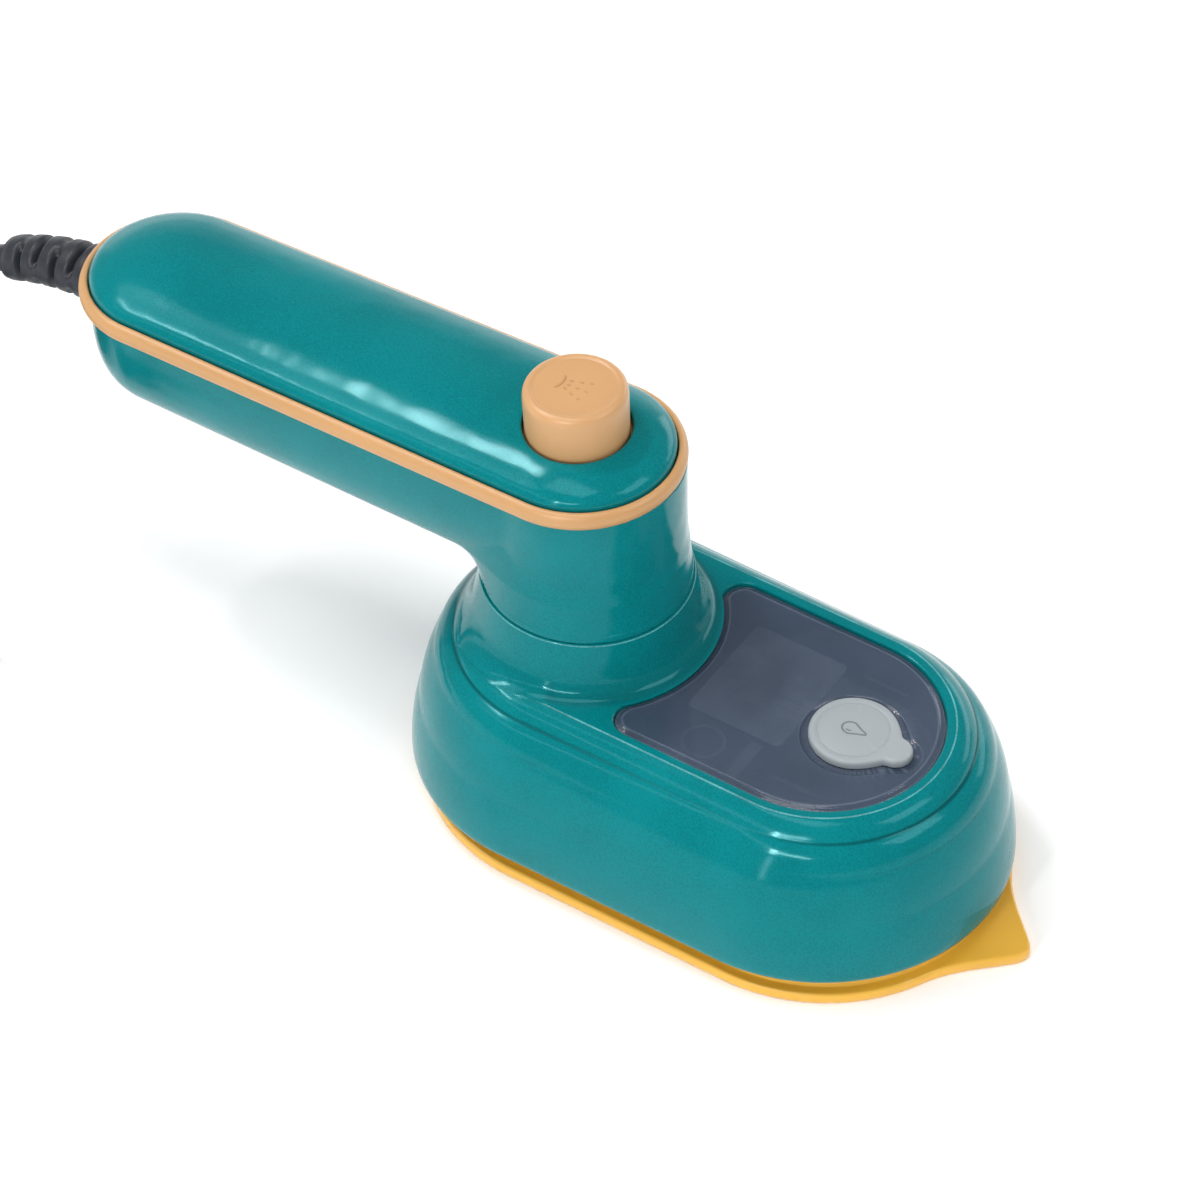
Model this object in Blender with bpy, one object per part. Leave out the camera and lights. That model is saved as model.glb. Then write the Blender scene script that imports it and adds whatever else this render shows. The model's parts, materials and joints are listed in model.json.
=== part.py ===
"""Swivel-handle travel steam iron, built as separate solids.

Frame: origin on the floor under the middle of the iron (free cord left out),
+X towards the nose of the soleplate, +Z up, sole at z = 0.  Units are metres.
The handle turns about the vertical line x = SWIVEL_X, y = 0.
"""
import math

import bmesh
import bpy
from mathutils import Matrix, Vector

MM = 0.001

# ---------------------------------------------------------------- driving sizes
FIT = 0.3 * MM                 # gap kept between neighbours that touch
SWIVEL_X = 6.8 * MM            # the handle's vertical turning axis

# Head: a stadium (two half circles joined by straight sides) seen from above.
REAR_C = SWIVEL_X + 4.2 * MM   # centre of the rear half circle
FRONT_C = SWIVEL_X + 53.7 * MM  # centre of the front half circle
HEAD_BOTTOM = 6.2 * MM
HEAD_TOP = 39.2 * MM
WALL = 2.2 * MM
# Outside profile: distance out from the stadium's middle line, and height.
TIERS = [(25.6, 39.2), (27.5, 38.4), (28.9, 37.3), (29.6, 36.1), (31.7, 34.6), (33.0, 32.6),
         (33.5, 30.9), (34.8, 27.4), (35.8, 23.4), (36.4, 19.9), (37.4, 15.6), (38.1, 10.6),
         (38.15, 8.3), (37.9, 6.2)]
COLLAR_R_FOOT = 23.1 * MM
COLLAR_R_TOP = 20.9 * MM
COLLAR_TOP = 50.5 * MM
BORE_R = 16.2 * MM             # bearing bore for the swivel hub

# Soleplate.
SOLE_R = 36.8 * MM
SOLE_REAR_C = SWIVEL_X + 5.7 * MM
SOLE_FRONT_C = SWIVEL_X + 54.8 * MM
SOLE_TIP_X = SWIVEL_X + 101.2 * MM
SOLE_TIP_ANGLE = math.radians(27)   # where the nose leaves the front half circle
SOLE_EDGE = 2.3 * MM
SOLE_BASE_TOP = 5.2 * MM
SOLE_BASE_R = 34.6 * MM

# Tank window and its filling plug.
WINDOW_R = 23.5 * MM
NOTCH_R = 26.2 * MM
WINDOW_CORNER = 4.4 * MM
WINDOW_T = 2.0 * MM
PLUG_X = SWIVEL_X + 60.6 * MM
PLUG_R = 8.75 * MM
PLUG_TOP = 40.6 * MM
PLUG_TAB = 9.3 * MM            # tab's round end, out from the plug's centre
PLUG_TAB_R = 3.3 * MM
FILL_HOLE_R = 6.5 * MM

# Inside the head, from the sole upwards.
CASTING_STEP = 9.0 * MM        # the casting's outer ledge, which carries the element
CASTING_TOP = 14.0 * MM
LID_TOP = 15.5 * MM
STEAM_HOLE_R = 1.2 * MM
TANK_REAR = SWIVEL_X + 17.5 * MM
VALVE_R = 8.0 * MM
PORT_Z = 28.5 * MM             # the water way from the tank to the valve

# Handle: top faces fall slightly towards the tail.
SLOPE = math.tan(math.radians(2.1))
TRIM_TOP = 83.1 * MM           # at the swivel axis
TRIM_H = 3.8 * MM
HANDLE_FRONT_C = SWIVEL_X - 1.3 * MM
HANDLE_TAIL_C = SWIVEL_X - 95.8 * MM
HANDLE_R_FRONT = 18.2 * MM
HANDLE_R_TAIL = 17.1 * MM
TRIM_OUT = 2.1 * MM
CROWN_H = 5.7 * MM
CROWN_POWER = 1.9
HANDLE_BOTTOM = 54.2 * MM
HANDLE_WALL = 2.0 * MM
NECK_R = 20.5 * MM             # at the foot; it narrows by NECK_TAPER at the trim
NECK_TAPER = 1.5 * MM
NECK_BOTTOM = 50.8 * MM
PILLAR_TOP = 72.0 * MM
PILLARS = [SWIVEL_X - 30 * MM, SWIVEL_X - 60 * MM, SWIVEL_X - 90 * MM]

# Steam button, with the push rod under it.
BUTTON_X = SWIVEL_X - 2.2 * MM
BUTTON_R = 10.15 * MM
BUTTON_TOP = 97.7 * MM
BUTTON_HOLLOW = 3.2 * MM       # from the cap's top face down to its hollow
BUTTON_FLANGE = (83.6 * MM, 84.9 * MM)   # heights of the collar that keeps the cap in
GUIDE_TOP = 68.3 * MM

# Cord: leaves the tail, droops, lies on a coil behind the iron.
CORD_R = 2.75 * MM
RELIEF_START = (SWIVEL_X - 114.4 * MM, 69.6 * MM)
RELIEF_END = (SWIVEL_X - 136.4 * MM, 63.8 * MM)
RELIEF_PITCH = math.radians(-8)
COIL_C = (SWIVEL_X - 198 * MM, -18 * MM)
COIL_R = 30.0 * MM
COIL_HALF = 8.4 * MM           # half the bundle's width and height
PLUG_BODY_X = SWIVEL_X - 160 * MM
ROUND = 40                     # sides on a large round piece

TEAL = (0.0, 0.26, 0.29, 1.0)
GOLD = (0.83, 0.44, 0.03, 1.0)
TAN = (0.79, 0.42, 0.15, 1.0)
SMOKE = (0.06, 0.08, 0.12, 1.0)
GREY = (0.35, 0.38, 0.40, 1.0)
BLACK = (0.02, 0.02, 0.022, 1.0)
STEEL = (0.55, 0.56, 0.58, 1.0)
ALUMINIUM = (0.72, 0.73, 0.75, 1.0)
WHITE = (0.75, 0.74, 0.70, 1.0)
BRASS = (0.70, 0.50, 0.20, 1.0)


# ---------------------------------------------------------------- small tools
def clear_scene():
    for old in list(bpy.data.objects):
        bpy.data.objects.remove(old, do_unlink=True)


def material(name, colour, roughness, metallic=0.0):
    made = bpy.data.materials.get(name)
    if made is None:
        made = bpy.data.materials.new(name)
        made.use_nodes = True
        made.diffuse_color = colour
        shader = made.node_tree.nodes["Principled BSDF"]
        shader.inputs["Base Color"].default_value = colour
        shader.inputs["Roughness"].default_value = roughness
        shader.inputs["Metallic"].default_value = metallic
    return made


def finish(name, bm, mat, smooth=True):
    bmesh.ops.recalc_face_normals(bm, faces=bm.faces)
    mesh = bpy.data.meshes.new(name)
    bm.to_mesh(mesh)
    bm.free()
    if smooth:
        mesh.shade_smooth()
        mesh.set_sharp_from_angle(angle=math.radians(35))
    obj = bpy.data.objects.new(name, mesh)
    bpy.context.scene.collection.objects.link(obj)
    if mat is not None:
        mesh.materials.append(mat)
    return obj


def ring_solid(name, rings, mat, closed=False):
    """A solid skinned over rings that all have the same number of points.

    closed joins the last ring to the first, which makes a hollow shell."""
    bm = bmesh.new()
    rows = [[bm.verts.new(p) for p in ring] for ring in rings]
    count = len(rows[0])
    pairs = list(zip(rows, rows[1:]))
    if closed:
        pairs.append((rows[-1], rows[0]))
    for low, high in pairs:
        for i in range(count):
            j = (i + 1) % count
            bm.faces.new((low[i], low[j], high[j], high[i]))
    if not closed:
        bm.faces.new(rows[0][::-1])
        bm.faces.new(rows[-1])
    return finish(name, bm, mat)


def circle(radius, z, x=SWIVEL_X, y=0.0, sides=ROUND):
    turn = 2 * math.pi / sides
    return [(x + radius * math.cos(i * turn), y + radius * math.sin(i * turn), z) for i in range(sides)]


def turned(name, profile, mat, x=SWIVEL_X, y=0.0, sides=ROUND, hollow=False):
    """A turned piece about a vertical line; profile is radius and height."""
    return ring_solid(name, [circle(r, z, x, y, sides) for r, z in profile], mat, closed=hollow)


def tube_ring(name, r_in, r_out, z_low, z_high, mat, x=SWIVEL_X, y=0.0, sides=ROUND):
    profile = [(r_out, z_low), (r_out, z_high), (r_in, z_high), (r_in, z_low)]
    return turned(name, profile, mat, x, y, sides, hollow=True)


def stadium_point(angle, offset, rear, front):
    """Point at a distance out from the middle line, for an angle round the outline.

    The straight sides are spread over the angles between the two half circles."""
    side = math.sin(angle)
    along = math.cos(angle)
    arc_end = math.cos(math.radians(72))
    if along > arc_end:
        swing = math.radians(90) * math.acos(along) / math.acos(arc_end)
        swing = math.copysign(swing, side)
        return front + offset * math.cos(swing), offset * math.sin(swing)
    if along < -arc_end:
        swing = math.radians(90) * math.acos(-along) / math.acos(arc_end)
        swing = math.copysign(swing, side)
        return rear - offset * math.cos(swing), offset * math.sin(swing)
    share = (math.asin(along) / math.asin(arc_end) + 1) / 2
    return rear + (front - rear) * share, math.copysign(offset, side)


def stadium(offset, z, rear=REAR_C, front=FRONT_C, sides=ROUND):
    turn = 2 * math.pi / sides
    points = [stadium_point(i * turn, offset, rear, front) for i in range(sides)]
    return [(x, y, z) for x, y in points]


def prism(name, outline, z_low, z_high, mat):
    low = [(x, y, z_low) for x, y in outline]
    high = [(x, y, z_high) for x, y in outline]
    return ring_solid(name, [low, high], mat)


def box(name, low, high, mat):
    x0, y0, z0 = low
    x1, y1, z1 = high
    return prism(name, [(x0, y0), (x1, y0), (x1, y1), (x0, y1)], z0, z1, mat)


def cutter(obj):
    obj.hide_render = True
    obj.display_type = "WIRE"
    return obj


def combine(obj, other, operation):
    step = obj.modifiers.new(operation.lower() + "_" + other.name, "BOOLEAN")
    step.operation = operation
    step.object = cutter(other)


def wire(name, points, radius, mat, resolution=2, smooth=None):
    """A round wire along points; smooth is how many points to read off the curve."""
    route = points if smooth is None else smooth_route(points, smooth)
    curve = bpy.data.curves.new(name, "CURVE")
    curve.dimensions = "3D"
    curve.bevel_depth = radius
    curve.bevel_resolution = resolution
    curve.use_fill_caps = True
    spline = curve.splines.new("POLY")
    spline.points.add(len(route) - 1)
    for spot, p in zip(spline.points, route):
        spot.co = (*p, 1.0)
    obj = bpy.data.objects.new(name, curve)
    bpy.context.scene.collection.objects.link(obj)
    curve.materials.append(mat)
    return obj


def smooth_route(points, count):
    """count evenly spaced points on a Catmull-Rom curve through points."""
    knots = [Vector(p) for p in points]
    knots = [2 * knots[0] - knots[1]] + knots + [2 * knots[-1] - knots[-2]]
    fine = []
    steps = 12
    for a, b, c, d in zip(knots, knots[1:], knots[2:], knots[3:]):
        for i in range(steps):
            t = i / steps
            fine.append(0.5 * (2 * b + (c - a) * t + (2 * a - 5 * b + 4 * c - d) * t * t
                               + (3 * b - a - 3 * c + d) * t ** 3))
    fine.append(knots[-2])
    lengths = [0.0]
    for p, q in zip(fine, fine[1:]):
        lengths.append(lengths[-1] + (q - p).length)
    out = []
    at = 0
    for i in range(count):
        want = lengths[-1] * i / (count - 1)
        while at < len(fine) - 2 and lengths[at + 1] < want:
            at += 1
        share = (want - lengths[at]) / max(lengths[at + 1] - lengths[at], 1e-9)
        out.append(fine[at].lerp(fine[at + 1], min(max(share, 0.0), 1.0)))
    return out


def spring(name, x, z_low, z_high, radius, wire_r, turns, mat):
    """An open coil spring standing on z_low."""
    steps = 10
    total = turns * steps
    low = z_low + wire_r
    rise = z_high - z_low - 2 * wire_r
    points = []
    for i in range(total + 1):
        turn = 2 * math.pi * i / steps
        points.append((x + radius * math.cos(turn), radius * math.sin(turn), low + rise * i / total))
    return wire(name, points, wire_r, mat, resolution=0)


def screw(name, x, y, z_head_low, head_r, head_h, shank_r, length, mat, up=True):
    """A pan-head screw; up sends its shank upwards from the head."""
    way = 1 if up else -1
    profile = [(head_r * 0.8, 0.0), (head_r, head_h * 0.35), (head_r, head_h), (shank_r, head_h),
               (shank_r, head_h + length), (shank_r * 0.5, head_h + length + shank_r * 0.6)]
    rings = [circle(r, z_head_low + way * z, x, y, 16) for r, z in profile]
    return ring_solid(name, rings, mat)


# ---------------------------------------------------------------- the head
def nose_outline(radius, tip_x, count=ROUND):
    """Soleplate outline: a stadium whose front is drawn out to a point.

    Each flank leaves the half circle on its tangent and curves hollow to the tip."""
    outline = []
    reach = tip_x - SOLE_FRONT_C
    for i in range(count):
        x, y = stadium_point(2 * math.pi * i / count, radius, SOLE_REAR_C, SOLE_FRONT_C)
        angle = math.atan2(y, x - SOLE_FRONT_C)
        if x > SOLE_FRONT_C and abs(angle) < SOLE_TIP_ANGLE:
            share = 1 - abs(angle) / SOLE_TIP_ANGLE
            start = Vector((math.cos(SOLE_TIP_ANGLE), math.sin(SOLE_TIP_ANGLE))) * radius
            leave = Vector((math.sin(SOLE_TIP_ANGLE), -math.cos(SOLE_TIP_ANGLE)))
            end = Vector((reach, 0.0))
            handle_a = start + leave * radius * 0.22
            handle_b = end + Vector((-0.70, 0.71)) * radius * 0.20
            t = share
            spot = ((1 - t) ** 3 * start + 3 * t * (1 - t) ** 2 * handle_a
                    + 3 * t * t * (1 - t) * handle_b + t ** 3 * end)
            x = SOLE_FRONT_C + spot.x
            y = math.copysign(spot.y, angle)
            if i == 0:
                y = 0.0
        outline.append((x, y))
    return outline


def make_soleplate():
    sides = 72
    flange = nose_outline(SOLE_R, SOLE_TIP_X, sides)
    tread = nose_outline(SOLE_R - 0.5 * MM, SOLE_TIP_X - 0.7 * MM, sides)
    rings = [
        [(x, y, 0.0) for x, y in tread],
        [(x, y, 0.5 * MM) for x, y in flange],
        [(x, y, SOLE_EDGE) for x, y in flange],
        stadium(SOLE_BASE_R + 0.6 * MM, SOLE_EDGE + 0.2 * MM, sides=sides),
        stadium(SOLE_BASE_R, SOLE_BASE_TOP, sides=sides),
    ]
    plate = ring_solid("soleplate", rings, material("sole_gold", GOLD, 0.35, 0.6))
    for x, y in steam_hole_places():
        hole = turned("cut_steam_hole", [(STEAM_HOLE_R, -1 * MM), (STEAM_HOLE_R, 6.5 * MM)], None, x, y, 10)
        combine(plate, hole, "DIFFERENCE")


def steam_hole_places():
    """Steam holes on a horseshoe round the front of the sole."""
    radius = 22 * MM
    spread = [math.radians(a) for a in (-80, -48, -16, 16, 48, 80)]
    return [(FRONT_C + radius * math.cos(a), radius * math.sin(a)) for a in spread]


def make_casting():
    low = SOLE_BASE_TOP + FIT
    cast = material("cast_aluminium", ALUMINIUM, 0.45, 0.9)
    ledge, outside, inside = 33.0 * MM, 25.5 * MM, 21.5 * MM
    rings = [stadium(ledge, low), stadium(ledge, CASTING_STEP), stadium(outside, CASTING_STEP),
             stadium(outside, CASTING_TOP), stadium(inside, CASTING_TOP),
             stadium(inside, CASTING_STEP - 1 * MM)]
    body = ring_solid("steam_chamber_casting", rings, cast)
    for x, y in steam_hole_places():
        hole = turned("cut_chamber_hole", [(STEAM_HOLE_R, 4 * MM), (STEAM_HOLE_R, 15 * MM)], None, x, y, 10)
        combine(body, hole, "DIFFERENCE")
    for x, y in lid_screw_places():
        hole = turned("cut_lid_thread", [(1.3 * MM, 7 * MM), (1.3 * MM, 16 * MM)], None, x, y, 12)
        combine(body, hole, "DIFFERENCE")


def lid_screw_places():
    out = 23.4 * MM
    return [(REAR_C, -out), (REAR_C, out), (FRONT_C, -out), (FRONT_C, out)]


def make_chamber_lid():
    steel = material("lid_steel", STEEL, 0.4, 0.9)
    lid_r = 25.3 * MM
    lid = ring_solid("steam_chamber_lid", [stadium(lid_r, CASTING_TOP + FIT), stadium(lid_r, LID_TOP)], steel)
    for x, y in lid_screw_places():
        hole = turned("cut_lid_hole", [(1.7 * MM, 13 * MM), (1.7 * MM, 17 * MM)], None, x, y, 12)
        combine(lid, hole, "DIFFERENCE")
    drip = turned("cut_drip_hole", [(1.5 * MM, 13 * MM), (1.5 * MM, 17 * MM)], None, sides=16)
    combine(lid, drip, "DIFFERENCE")
    for number, (x, y) in enumerate(lid_screw_places(), 1):
        low = LID_TOP + FIT
        head = [(2.6 * MM, low + 1.6 * MM), (2.6 * MM, low), (1.0 * MM, low), (1.0 * MM, CASTING_STEP)]
        turned("lid_screw_%d" % number, head, steel, x, y, 16)


def make_element():
    """Tubular heating element, a U round the steam chamber with its ends at the rear."""
    middle = 29.3 * MM
    tube_r = 2.4 * MM
    z = CASTING_STEP + FIT + tube_r
    path = []
    for angle in range(-150, 151, 12):
        a = math.radians(angle)
        if abs(angle) <= 90:
            path.append((FRONT_C + middle * math.cos(a), middle * math.sin(a), z))
        else:
            path.append((REAR_C + middle * math.cos(a), middle * math.sin(a), z))
    wire("heating_element", path, tube_r, material("element_steel", STEEL, 0.5, 0.8), resolution=2)


def make_thermal_parts():
    low = LID_TOP + FIT
    steel = material("thermostat_steel", STEEL, 0.35, 0.9)
    turned("thermostat", [(7.0 * MM, low), (7.0 * MM, low + 3 * MM), (6.2 * MM, low + 5 * MM)], steel,
           FRONT_C - 8 * MM, 0.0, 32)
    fuse_x, fuse_z = FRONT_C + 6 * MM, low + 2.2 * MM
    wire("thermal_fuse", [(fuse_x, -5 * MM, fuse_z), (fuse_x, 7 * MM, fuse_z)],
         2.0 * MM, material("fuse_sleeve", WHITE, 0.6), resolution=2)


def make_heat_shield():
    tin = material("shield_tin", STEEL, 0.5, 0.85)
    plate_r = 32.0 * MM
    plate = ring_solid("heat_shield", [stadium(plate_r, 22.6 * MM), stadium(plate_r, 23.4 * MM)], tin)
    clear_r = VALVE_R + 1.5 * MM
    combine(plate, turned("cut_shield", [(clear_r, 21 * MM), (clear_r, 25 * MM)], None), "DIFFERENCE")


def collar_profile_outer():
    return [(COLLAR_R_TOP, COLLAR_TOP), (COLLAR_R_FOOT - 0.5 * MM, 42.5 * MM), (COLLAR_R_FOOT, 40.4 * MM),
            (COLLAR_R_FOOT + 1.1 * MM, 39.5 * MM), (COLLAR_R_FOOT + 3.0 * MM, 36.0 * MM)]


def make_head_shell():
    teal = material("shell_teal", TEAL, 0.22)
    tiers = [(r * MM, z * MM) for r, z in TIERS]
    outer = [stadium(r, z) for r, z in tiers]
    inner = [stadium(tiers[-1][0] - WALL, HEAD_BOTTOM), stadium(35.2 * MM, 16 * MM),
             stadium(33.0 * MM, 26 * MM), stadium(29.6 * MM, 32.5 * MM),
             stadium(26.6 * MM, HEAD_TOP - 2 * MM)]
    shell = ring_solid("head_shell", outer + inner, teal)
    collar = [(COLLAR_R_FOOT + 3.0 * MM, 33 * MM)] + collar_profile_outer()[::-1]
    combine(shell, turned("add_collar", collar, None), "UNION")
    under = ring_solid("cut_under", [stadium(20 * MM, 30 * MM), stadium(20 * MM, HEAD_TOP - 2 * MM)], None)
    combine(shell, under, "DIFFERENCE")
    bore = [(18.6 * MM, 32 * MM), (18.6 * MM, 44 * MM), (BORE_R, 44 * MM), (BORE_R, 52 * MM)]
    combine(shell, turned("cut_bore", bore, None), "DIFFERENCE")
    opening = prism("cut_window", window_outline(FIT), 35 * MM, 41 * MM, None)
    combine(shell, opening, "DIFFERENCE")


def window_outline(grow=0.0):
    """Window outline: the front half circle, straight sides, and a round notch
    that leaves room for the swivel collar, with rounded corners."""
    half = WINDOW_R + grow
    notch = NOTCH_R - grow
    corner = WINDOW_CORNER + grow
    y = half - corner
    x = math.sqrt((notch + corner) ** 2 - y * y)
    outline = []
    for i in range(-12, 13):
        a = math.radians(7.5 * i)
        outline.append((FRONT_C + half * math.cos(a), half * math.sin(a)))
    start = math.radians(90)
    finish_angle = math.atan2(-y, -x) + 2 * math.pi
    for i in range(7):
        a = start + (finish_angle - start) * i / 6
        outline.append((SWIVEL_X + x + corner * math.cos(a), y + corner * math.sin(a)))
    touch = math.atan2(y, x)
    for i in range(1, 10):
        a = touch - 2 * touch * i / 10
        outline.append((SWIVEL_X + notch * math.cos(a), notch * math.sin(a)))
    for i in range(7):
        a = -(finish_angle - (finish_angle - start) * i / 6)
        outline.append((SWIVEL_X + x + corner * math.cos(a), -y + corner * math.sin(a)))
    return outline


def tab_outline(radius, tab_r, reach, sides=32):
    """Round disc drawn out to a round-ended tab towards +X."""
    lean = math.acos((radius - tab_r) / reach)
    outline = []
    for i in range(sides + 1):
        a = lean + (2 * math.pi - 2 * lean) * i / sides
        outline.append((PLUG_X + radius * math.cos(a), radius * math.sin(a)))
    for i in range(9):
        a = -lean + 2 * lean * i / 8
        outline.append((PLUG_X + reach + tab_r * math.cos(a), tab_r * math.sin(a)))
    return outline


def make_window():
    smoke = material("window_smoke", SMOKE, 0.05)
    window = prism("tank_window", window_outline(), HEAD_TOP - WINDOW_T, HEAD_TOP, smoke)
    recess = prism("cut_recess", tab_outline(PLUG_R + 1.3 * MM, PLUG_TAB_R + 1.2 * MM, PLUG_TAB),
                   HEAD_TOP - 0.8 * MM, HEAD_TOP + 2 * MM, None)
    combine(window, recess, "DIFFERENCE")
    hole = turned("cut_fill_hole", [(FILL_HOLE_R, 30 * MM), (FILL_HOLE_R, 42 * MM)], None, PLUG_X, 0.0, 32)
    combine(window, hole, "DIFFERENCE")


def make_fill_plug():
    grey = material("plug_silicone", GREY, 0.55)
    low = HEAD_TOP - 0.8 * MM + FIT
    disc = prism("fill_plug", tab_outline(PLUG_R, PLUG_TAB_R, PLUG_TAB), low, PLUG_TOP, grey)
    stem = [(4.5 * MM, 33.4 * MM), (FILL_HOLE_R - FIT, 34.6 * MM), (FILL_HOLE_R - FIT, low + 0.8 * MM)]
    combine(disc, turned("add_stem", stem, None, PLUG_X, 0.0, 32), "UNION")


def make_tank():
    """Open-topped water tank under the window; it stops short of the valve."""
    tank_plastic = material("tank_plastic", SMOKE, 0.12)
    top = HEAD_TOP - WINDOW_T - FIT
    rear = TANK_REAR

    def outline(offset, back):
        points = []
        for i in range(-12, 13):
            a = math.radians(7.5 * i)
            points.append((FRONT_C + offset * math.cos(a), offset * math.sin(a)))
        points.append((back, offset))
        points.append((back, -offset))
        return points

    def level(offset, back, z):
        return [(x, y, z) for x, y in outline(offset, back)]

    thick = 1.5 * MM
    foot_r, mouth_r, low = 24.6 * MM, 25.0 * MM, 24.4 * MM
    rings = [level(foot_r, rear, low), level(mouth_r, rear, top),
             level(mouth_r - thick, rear + thick, top), level(foot_r - thick, rear + thick, low + thick)]
    tank = ring_solid("water_tank", rings, tank_plastic)
    port = wire("cut_port", [(rear - 2 * MM, 0, PORT_Z), (rear + 3 * MM, 0, PORT_Z)], 1.5 * MM,
                None, resolution=2)
    combine(tank, port_mesh(port), "DIFFERENCE")


def port_mesh(curve_object):
    """A curve's solid as a mesh object, because a Boolean reads only meshes."""
    made = bpy.data.meshes.new_from_object(curve_object.evaluated_get(bpy.context.evaluated_depsgraph_get()))
    name = curve_object.name
    bpy.data.objects.remove(curve_object, do_unlink=True)
    obj = bpy.data.objects.new(name, made)
    bpy.context.scene.collection.objects.link(obj)
    return obj


def make_valve():
    brass = material("valve_brass", BRASS, 0.3, 0.95)
    silicone = material("tube_silicone", WHITE, 0.5)
    spring_steel = material("spring_steel", STEEL, 0.3, 1.0)
    low, seat, top = LID_TOP + FIT, 18.0 * MM, 34.0 * MM
    room_r, drip_r = 5.2 * MM, 1.4 * MM
    profile = [(VALVE_R, low), (VALVE_R, top), (room_r, top), (room_r, seat), (drip_r, seat), (drip_r, low)]
    body = turned("valve_body", profile, brass, sides=32, hollow=True)
    inlet = turned("cut_inlet", [(1.3 * MM, -1 * MM), (1.3 * MM, 14 * MM)], None, 0.0, 0.0, 12)
    inlet.rotation_euler = (0, math.radians(90), 0)
    inlet.location = (SWIVEL_X, 0, PORT_Z)
    combine(body, inlet, "DIFFERENCE")
    head_low = 26.6 * MM
    plunger = [(4.8 * MM, head_low), (4.8 * MM, 30.4 * MM), (2.0 * MM, 30.4 * MM), (2.0 * MM, 46.9 * MM)]
    turned("valve_plunger", plunger, material("plunger_plastic", WHITE, 0.4), sides=24)
    spring("valve_spring", SWIVEL_X, seat + FIT, head_low - FIT, 3.6 * MM, 0.35 * MM, 4, spring_steel)
    start = SWIVEL_X + VALVE_R + FIT
    end = TANK_REAR - FIT
    wire("water_tube", [(start, 0, PORT_Z), (end, 0, PORT_Z)], 2.3 * MM, silicone, resolution=3)


def make_swivel():
    pom = material("hub_acetal", WHITE, 0.35)
    steel = material("ring_steel", STEEL, 0.3, 1.0)
    low, ledge, top = 41.6 * MM, NECK_BOTTOM + 0.4 * MM, 54.0 * MM
    hub_r, bore_r = 17.6 * MM, 13.0 * MM
    hub = [(BORE_R - FIT, low), (BORE_R - FIT, ledge), (hub_r, ledge),
           (hub_r, top), (bore_r, top), (bore_r, low)]
    turned("swivel_hub", hub, pom, hollow=True)
    tube_ring("retaining_ring", BORE_R, 18.2 * MM, 42.2 * MM, 43.4 * MM, steel)


# ---------------------------------------------------------------- the handle
def handle_point(angle, grow):
    """Handle outline seen from above: half circles of two radii, joined."""
    x, y = stadium_point(angle, 1.0, 0.0, 2.0)
    share = min(max(x, 0.0), 2.0) / 2
    size = HANDLE_R_TAIL + (HANDLE_R_FRONT - HANDLE_R_TAIL) * share + grow
    middle = HANDLE_TAIL_C + (HANDLE_FRONT_C - HANDLE_TAIL_C) * share
    return middle + (x - 2 * share) * size, y * size


def handle_ring(grow, height):
    """One ring of the handle; height is from the trim's top face, which slopes."""
    ring = []
    for i in range(ROUND):
        x, y = handle_point(2 * math.pi * i / ROUND, grow)
        ring.append((x, y, TRIM_TOP + height + SLOPE * (x - SWIVEL_X)))
    return ring


def crown_height(inset):
    """How high the top shell stands at a distance in from its rim."""
    share = min(inset / HANDLE_R_FRONT, 1.0)
    return CROWN_H * (1 - (1 - share) ** CROWN_POWER) ** (1 / CROWN_POWER)


def make_upper_shell():
    teal = material("handle_teal", TEAL, 0.22)
    insets = [0.0, 0.4, 1.2, 3.0, 6.0, 10.0, 14.0, 16.4]
    low = 0.3 * MM
    outer = [handle_ring(-i * MM, low + crown_height(i * MM)) for i in insets]
    inner_insets = [15.6, 10.0, 6.0, 3.6, 2.2]
    inner = [handle_ring(-i * MM, low + crown_height(i * MM) - HANDLE_WALL) for i in inner_insets[:-1]]
    inner.append(handle_ring(-inner_insets[-1] * MM, low))
    shell = hollow_dome("handle_upper_shell", outer, inner, teal)
    mouth_r = BUTTON_R + 0.45 * MM
    mouth = turned("cut_button", [(mouth_r, 80 * MM), (mouth_r, 92 * MM)], None, BUTTON_X)
    combine(shell, mouth, "DIFFERENCE")
    for x in PILLARS:
        top = TRIM_TOP + SLOPE * (x - SWIVEL_X) + CROWN_H - 1.0 * MM
        post = [(3.6 * MM, PILLAR_TOP + FIT), (3.6 * MM, top)]
        combine(shell, turned("add_post", post, None, x, 0, 16), "UNION")
        thread = [(1.3 * MM, PILLAR_TOP - 2 * MM), (1.3 * MM, PILLAR_TOP + 8 * MM)]
        combine(shell, turned("cut_post", thread, None, x, 0, 12), "DIFFERENCE")


def hollow_dome(name, outer, inner, mat):
    """A dome shell: outer rings run from rim to top, inner rings from top to rim."""
    bm = bmesh.new()
    rows = [[bm.verts.new(p) for p in ring] for ring in outer + inner]
    count = len(rows[0])
    split = len(outer)
    pairs = [(i, i + 1) for i in range(len(rows) - 1) if i != split - 1] + [(-1, 0)]
    for a, b in pairs:
        for i in range(count):
            j = (i + 1) % count
            bm.faces.new((rows[a][i], rows[a][j], rows[b][j], rows[b][i]))
    for row in (rows[split - 1], rows[split]):
        cap_strip(bm, row)
    return finish(name, bm, mat)


def cap_strip(bm, row):
    """Close a long loop, symmetrical about y = 0, with quads across it."""
    count = len(row)
    half = count // 2
    for i in range(half):
        a, b = row[i], row[i + 1]
        c, d = row[(count - i - 1) % count], row[(count - i) % count]
        corners = []
        for v in (a, b, c, d):
            if v not in corners:
                corners.append(v)
        if len(corners) > 2:
            bm.faces.new(corners)


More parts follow.
